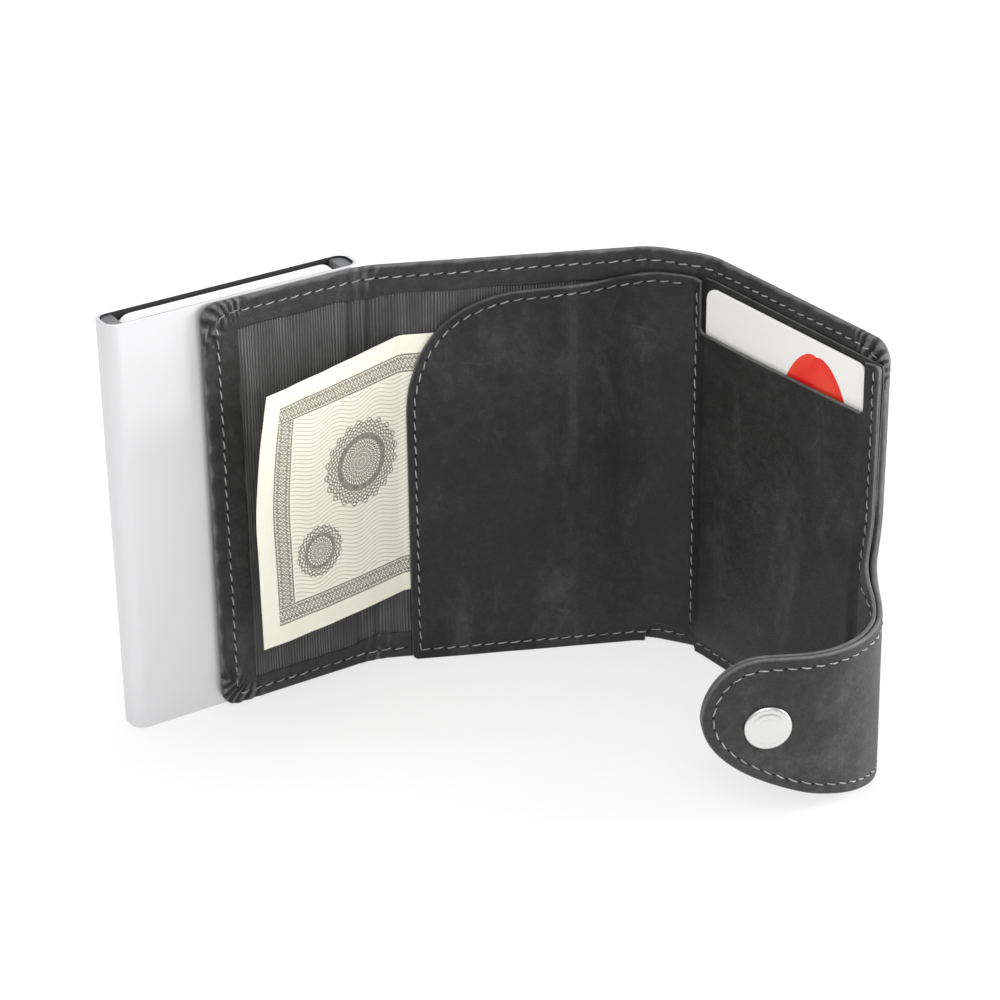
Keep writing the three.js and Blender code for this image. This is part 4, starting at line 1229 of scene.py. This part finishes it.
def pocket_card_finish():
    """White card with two overlapping petals in the accent colour."""
    f = Finish("pocket_card_print")
    base, accent = tuple(colours().card), tuple(colours().accent)
    where = f.pattern()
    x, y = f.pattern_in_mm()
    petal_height, petal_length, petal_width = 72.5, 10.5, 5.4

    def petal(cx, turn):
        """Below 1 inside an ellipse that is turned about its middle."""
        dx, dy = f.minus(x, cx), f.minus(y, petal_height)
        c, s = math.cos(turn), math.sin(turn)
        along = f.times(dx, c / petal_length, f.times(dy, s / petal_length))
        across = f.times(dx, -s / petal_width, f.times(dy, c / petal_width))
        return f.math("ADD", f.times(along, along), f.times(across, across))

    grain = f.noise(where, 900, 2)
    colour = f.mix(grain, base, [min(1, v * 1.02) for v in base])
    lighter = (min(1, accent[0] * 1.05), accent[1] + 0.05, accent[2] + 0.015)
    for cx, turn, low, high in ((33.5, 1.12, accent, lighter), (42.5, 2.02, lighter, accent)):
        shape = petal(cx, turn)
        colour = f.mix(f.below(shape, 1.0), colour, f.mix(f.times(shape, 1.0, clamp=True), low, high))
    return f.done(Base_Color=colour, Roughness=0.3, Normal=f.bump(grain, 0.00001, 0.4), Coat_Weight=0.15)


def build_cards():
    foot = CARD_TOP - CARD_HEIGHT
    piece = card_solid("pocket_card_plastic", RIGHT, CARD_INSET, foot, CARD_FACE, pocket_card_finish())
    co = np.array([v.co for v in piece.data.vertices]) / MM
    along = (co[:, :2] - RIGHT.origin) @ RIGHT.along - CARD_INSET
    add_attribute(piece.data, "pattern", np.column_stack([along, np.zeros(len(co)), co[:, 2] - foot]) * MM)
    attach(piece, "pocket_card", ["pocket_card"])
    for number in range(1, 5):
        node = f"case_card_{number}"
        low = np.array(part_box(node)[0]) / MM
        x, y = low[:2] - LEFT.origin
        card = card_solid(node + "_plastic", LEFT, x, low[2], y, finish_of("card_plastic"))
        attach(card, node, [node])


# Card case

def case_ring(inward, z, low, high):
    ring = rounded_rectangle(low[0] + inward, low[1] + inward, high[0] - inward, high[1] - inward,
                             CASE_ROUND - inward, 12)
    return np.column_stack([ring, np.full(len(ring), z)])


def build_tube(low, high):
    """The case's tube, with rounded rims; the faces inside it are painted dark as shade."""
    top = high[2]
    levels = [(CASE_WALL, 0.35), (0.75, 0.12), (0.35, 0), (0.12, 0.06), (0, 0.3), (0, 12), (0, 50), (0, 90),
              (0, top - 0.3), (0.06, top - 0.1), (0.2, top), (0.68, top), (0.84, top - 0.1),
              (CASE_WALL, top - 0.3), (CASE_WALL, 50), (CASE_WALL, 12), (CASE_WALL, 0.35)]
    points, faces, _ = loft([case_ring(inward, z, low, high) for inward, z in levels])
    points, faces, _ = weld(points, faces)
    tube = sharpen(make_object("case_tube_aluminium", points, faces, finish_of("anodised_aluminium")), 35)
    tube.data.materials.append(finish_of("case_inside"))
    axis = Vector(((low + high) / 2 * MM).tolist())
    facing = [face.normal.to_2d().dot((face.center - axis).to_2d()) for face in tube.data.polygons]
    outward = math.copysign(1, sum(share * face.area for share, face in zip(facing, tube.data.polygons)))
    for share, face in zip(facing, tube.data.polygons):
        face.material_index = int(share * outward < 0 and abs(face.normal.z) < 0.3)
    attach(tube, "left_panel_and_case", ["case_tube"])


def build_guide(node, inner_end, low, high):
    """A guide fills one end of the tube, from its round end to a flat face beside the cards."""
    a, b = (np.array(v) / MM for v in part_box(node))
    ring = case_ring(CASE_WALL + 0.1, 0, low, high)[:, :2]
    ring = ring[(ring[:, 0] <= b[0] + 1e-6) & (ring[:, 0] >= a[0] - 1e-6)]
    face_x, ends = (a, b)[inner_end][0], (ring[:, 1].min(), ring[:, 1].max())
    centre = np.array([(a[0] + b[0]) / 2, sum(ends) / 2])
    loop = np.vstack([ring, [(face_x, y) for y in ends]])
    loop = loop[np.argsort(np.arctan2(loop[:, 1] - centre[1], loop[:, 0] - centre[0]))]
    inward = centre - loop
    inward /= np.hypot(*inward.T)[:, None]
    rings = [np.column_stack([loop + inward * shrink, np.full(len(loop), z)])
             for shrink, z in ((0.0, a[2]), (0.0, b[2] - 0.5), (0.08, b[2] - 0.15), (0.3, b[2]))]
    guide = sharpen(rings_solid(node + "_plastic", rings, finish_of("case_plastic")), 45)
    attach(guide, "left_panel_and_case", [node])


def build_case():
    low, high = (np.array(v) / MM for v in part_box("case_tube"))
    build_tube(low, high)
    build_guide("case_guide_left", 1, low, high)
    build_guide("case_guide_right", 0, low, high)
    for node, finish in (("case_base", "case_plastic"), ("eject_lever", "case_plastic"),
                         ("case_felt", "felt"), ("case_spring", "spring_steel"),
                         ("lever_pin", "spring_steel"), ("adhesive_pad", "pad_adhesive"),
                         ("snap_post", "snap_metal")):
        for slot in frame["nodes"][node].material_slots:
            slot.material = finish_of(finish)


# Stage

CAMERA_SPOT, CAMERA_LENS = (-0.32497, -0.51788, 0.3858), 113.62
CAMERA_PITCH, CAMERA_ROLL, CAMERA_HEADING = (math.radians(turn) for turn in (27.689, -0.664, 58.17))
LIGHTS = [      # name, place, size, watts
    ("key", (-0.55, -0.75, 1.0), 0.8, 9.0), ("side", (1.0, -0.5, 0.4), 0.5, 16.0),
    ("top", (0.05, 0.35, 1.2), 0.9, 6.0)]
LIGHT_AIM = Vector((0.0, 0.0, 0.05))
FLOOR_REACH, FLOOR_GLOW, SKY = 3.0, 0.62, 0.55


def link_object(name, data):
    made = bpy.data.objects.new(name, data)
    bpy.context.scene.collection.objects.link(made)
    return made


def build_camera():
    camera = link_object("camera", bpy.data.cameras.new("camera"))
    camera.data.lens, camera.data.sensor_width = CAMERA_LENS, 36
    flat, sink = math.cos(CAMERA_PITCH), -math.sin(CAMERA_PITCH)
    ahead = Vector((flat * math.cos(CAMERA_HEADING), flat * math.sin(CAMERA_HEADING), sink))
    right = Vector((math.sin(CAMERA_HEADING), -math.cos(CAMERA_HEADING), 0))
    up = right.cross(ahead)
    c, s = math.cos(CAMERA_ROLL), math.sin(CAMERA_ROLL)
    turn = Matrix((right * c + up * s, up * c - right * s, -ahead)).transposed().to_4x4()
    camera.matrix_world = Matrix.Translation(Vector(CAMERA_SPOT)) @ turn
    camera.data.clip_start, camera.data.clip_end = 0.01, 20
    bpy.context.scene.camera = camera


def floor_finish():
    """Matt paper that shows as nearly white to the camera and in reflections."""
    f = Finish("floor_paper")
    f.done(Base_Color=channels(colours().floor), Roughness=0.9)
    path = f.nodes.new("ShaderNodeLightPath")
    seen = f.math("MAXIMUM", path.outputs["Is Camera Ray"], path.outputs["Is Glossy Ray"])
    seen = f.math("MAXIMUM", seen, path.outputs["Is Transmission Ray"])
    glow = f.add("Emission", Color=(1, 1, 1, 1), Strength=1.0)
    shown = f.add("MixShader", i0=f.times(seen, FLOOR_GLOW), i1=f.shader.outputs[0], i2=glow)
    output = next(n for n in f.nodes if n.type == "OUTPUT_MATERIAL")
    f.links.new(shown, output.inputs[0])
    return f.material


def build_stage():
    scene = bpy.context.scene
    build_camera()
    scene.view_settings.view_transform = "Standard"
    mesh = bpy.data.meshes.new("floor")
    corners = [(x * FLOOR_REACH, y * FLOOR_REACH, 0) for x, y in ((-1, -1), (1, -1), (1, 1), (-1, 1))]
    mesh.from_pydata(corners, [], [(0, 1, 2, 3)])
    mesh.materials.append(floor_finish())
    link_object("floor", mesh)
    scene.world = bpy.data.worlds.new("studio")
    scene.world.use_nodes = True
    colour, strength = scene.world.node_tree.nodes["Background"].inputs[:2]
    colour.default_value, strength.default_value = (1, 1, 1, 1), SKY
    for name, spot, size, power in LIGHTS:
        lamp = link_object(name, bpy.data.lights.new(name, "AREA"))
        lamp.data.size, lamp.data.energy = size, power
        lamp.location = spot
        lamp.rotation_euler = (LIGHT_AIM - lamp.location).to_track_quat("-Z", "Y").to_euler()


# Operators, panel and registration

class WALLET_OT_stage(bpy.types.Operator):
    """Make the camera, the floor and the lights"""
    bl_idname = "wallet.stage"
    bl_label = "Stage"

    def execute(self, context):
        build_stage()
        return {"FINISHED"}


class WALLET_OT_shell(bpy.types.Operator):
    """Make the shell leather: three panels, the spine and the bends between them"""
    bl_idname = "wallet.shell"
    bl_label = "Shell leather"

    def execute(self, context):
        build_shell()
        return {"FINISHED"}


class WALLET_OT_lining(bpy.types.Operator):
    """Make the ribbed lining cloth"""
    bl_idname = "wallet.lining"
    bl_label = "Lining cloth"

    def execute(self, context):
        build_lining()
        return {"FINISHED"}


class WALLET_OT_front(bpy.types.Operator):
    """Make the inner leather with the card pocket and its backing"""
    bl_idname = "wallet.front"
    bl_label = "Inner leather"

    def execute(self, context):
        build_front()
        return {"FINISHED"}


class WALLET_OT_strap(bpy.types.Operator):
    """Make the strap's outer leather and lining leather"""
    bl_idname = "wallet.strap"
    bl_label = "Strap"

    def execute(self, context):
        build_strap()
        return {"FINISHED"}


class WALLET_OT_stitching(bpy.types.Operator):
    """Make every row of stitches"""
    bl_idname = "wallet.stitching"
    bl_label = "Stitching"

    def execute(self, context):
        build_stitching()
        return {"FINISHED"}


class WALLET_OT_snap(bpy.types.Operator):
    """Make the snap's cap, socket and stud"""
    bl_idname = "wallet.snap"
    bl_label = "Snap"

    def execute(self, context):
        build_snap()
        return {"FINISHED"}


class WALLET_OT_note(bpy.types.Operator):
    """Make the banknote"""
    bl_idname = "wallet.note"
    bl_label = "Banknote"

    def execute(self, context):
        build_note()
        return {"FINISHED"}


class WALLET_OT_cards(bpy.types.Operator):
    """Make the pocket's card and the case's cards"""
    bl_idname = "wallet.cards"
    bl_label = "Cards"

    def execute(self, context):
        build_cards()
        return {"FINISHED"}


class WALLET_OT_case(bpy.types.Operator):
    """Make the card case and finish its inner parts"""
    bl_idname = "wallet.case"
    bl_label = "Card case"

    def execute(self, context):
        build_case()
        return {"FINISHED"}


class WALLET_PT_panel(bpy.types.Panel):
    """Lists the wallet's operators, sizes and colours"""
    bl_label = "Wallet"
    bl_idname = "WALLET_PT_panel"
    bl_space_type = "VIEW_3D"
    bl_region_type = "UI"
    bl_category = "Wallet"

    def draw(self, context):
        for made in OPERATORS:
            self.layout.operator(made.bl_idname)
        for group in (context.scene.wallet_sizes, context.scene.wallet_colours):
            for name in group.bl_rna.properties.keys():
                if name not in ("rna_type", "name"):
                    self.layout.prop(group, name)


OPERATORS = (
    WALLET_OT_stage, WALLET_OT_shell, WALLET_OT_lining, WALLET_OT_front, WALLET_OT_strap, WALLET_OT_stitching,
    WALLET_OT_snap, WALLET_OT_note, WALLET_OT_cards, WALLET_OT_case,
)
CLASSES = (WalletSizes, WalletColours, *OPERATORS, WALLET_PT_panel)


def register():
    for made in CLASSES:
        bpy.utils.register_class(made)
    bpy.types.Scene.wallet_sizes = bpy.props.PointerProperty(type=WalletSizes)
    bpy.types.Scene.wallet_colours = bpy.props.PointerProperty(type=WalletColours)


def unregister():
    del bpy.types.Scene.wallet_colours
    del bpy.types.Scene.wallet_sizes
    for made in reversed(CLASSES):
        bpy.utils.unregister_class(made)


def main():
    register()
    for made in OPERATORS:
        getattr(bpy.ops.wallet, made.bl_idname.split(".")[1])()


if __name__ == "__main__":
    main()
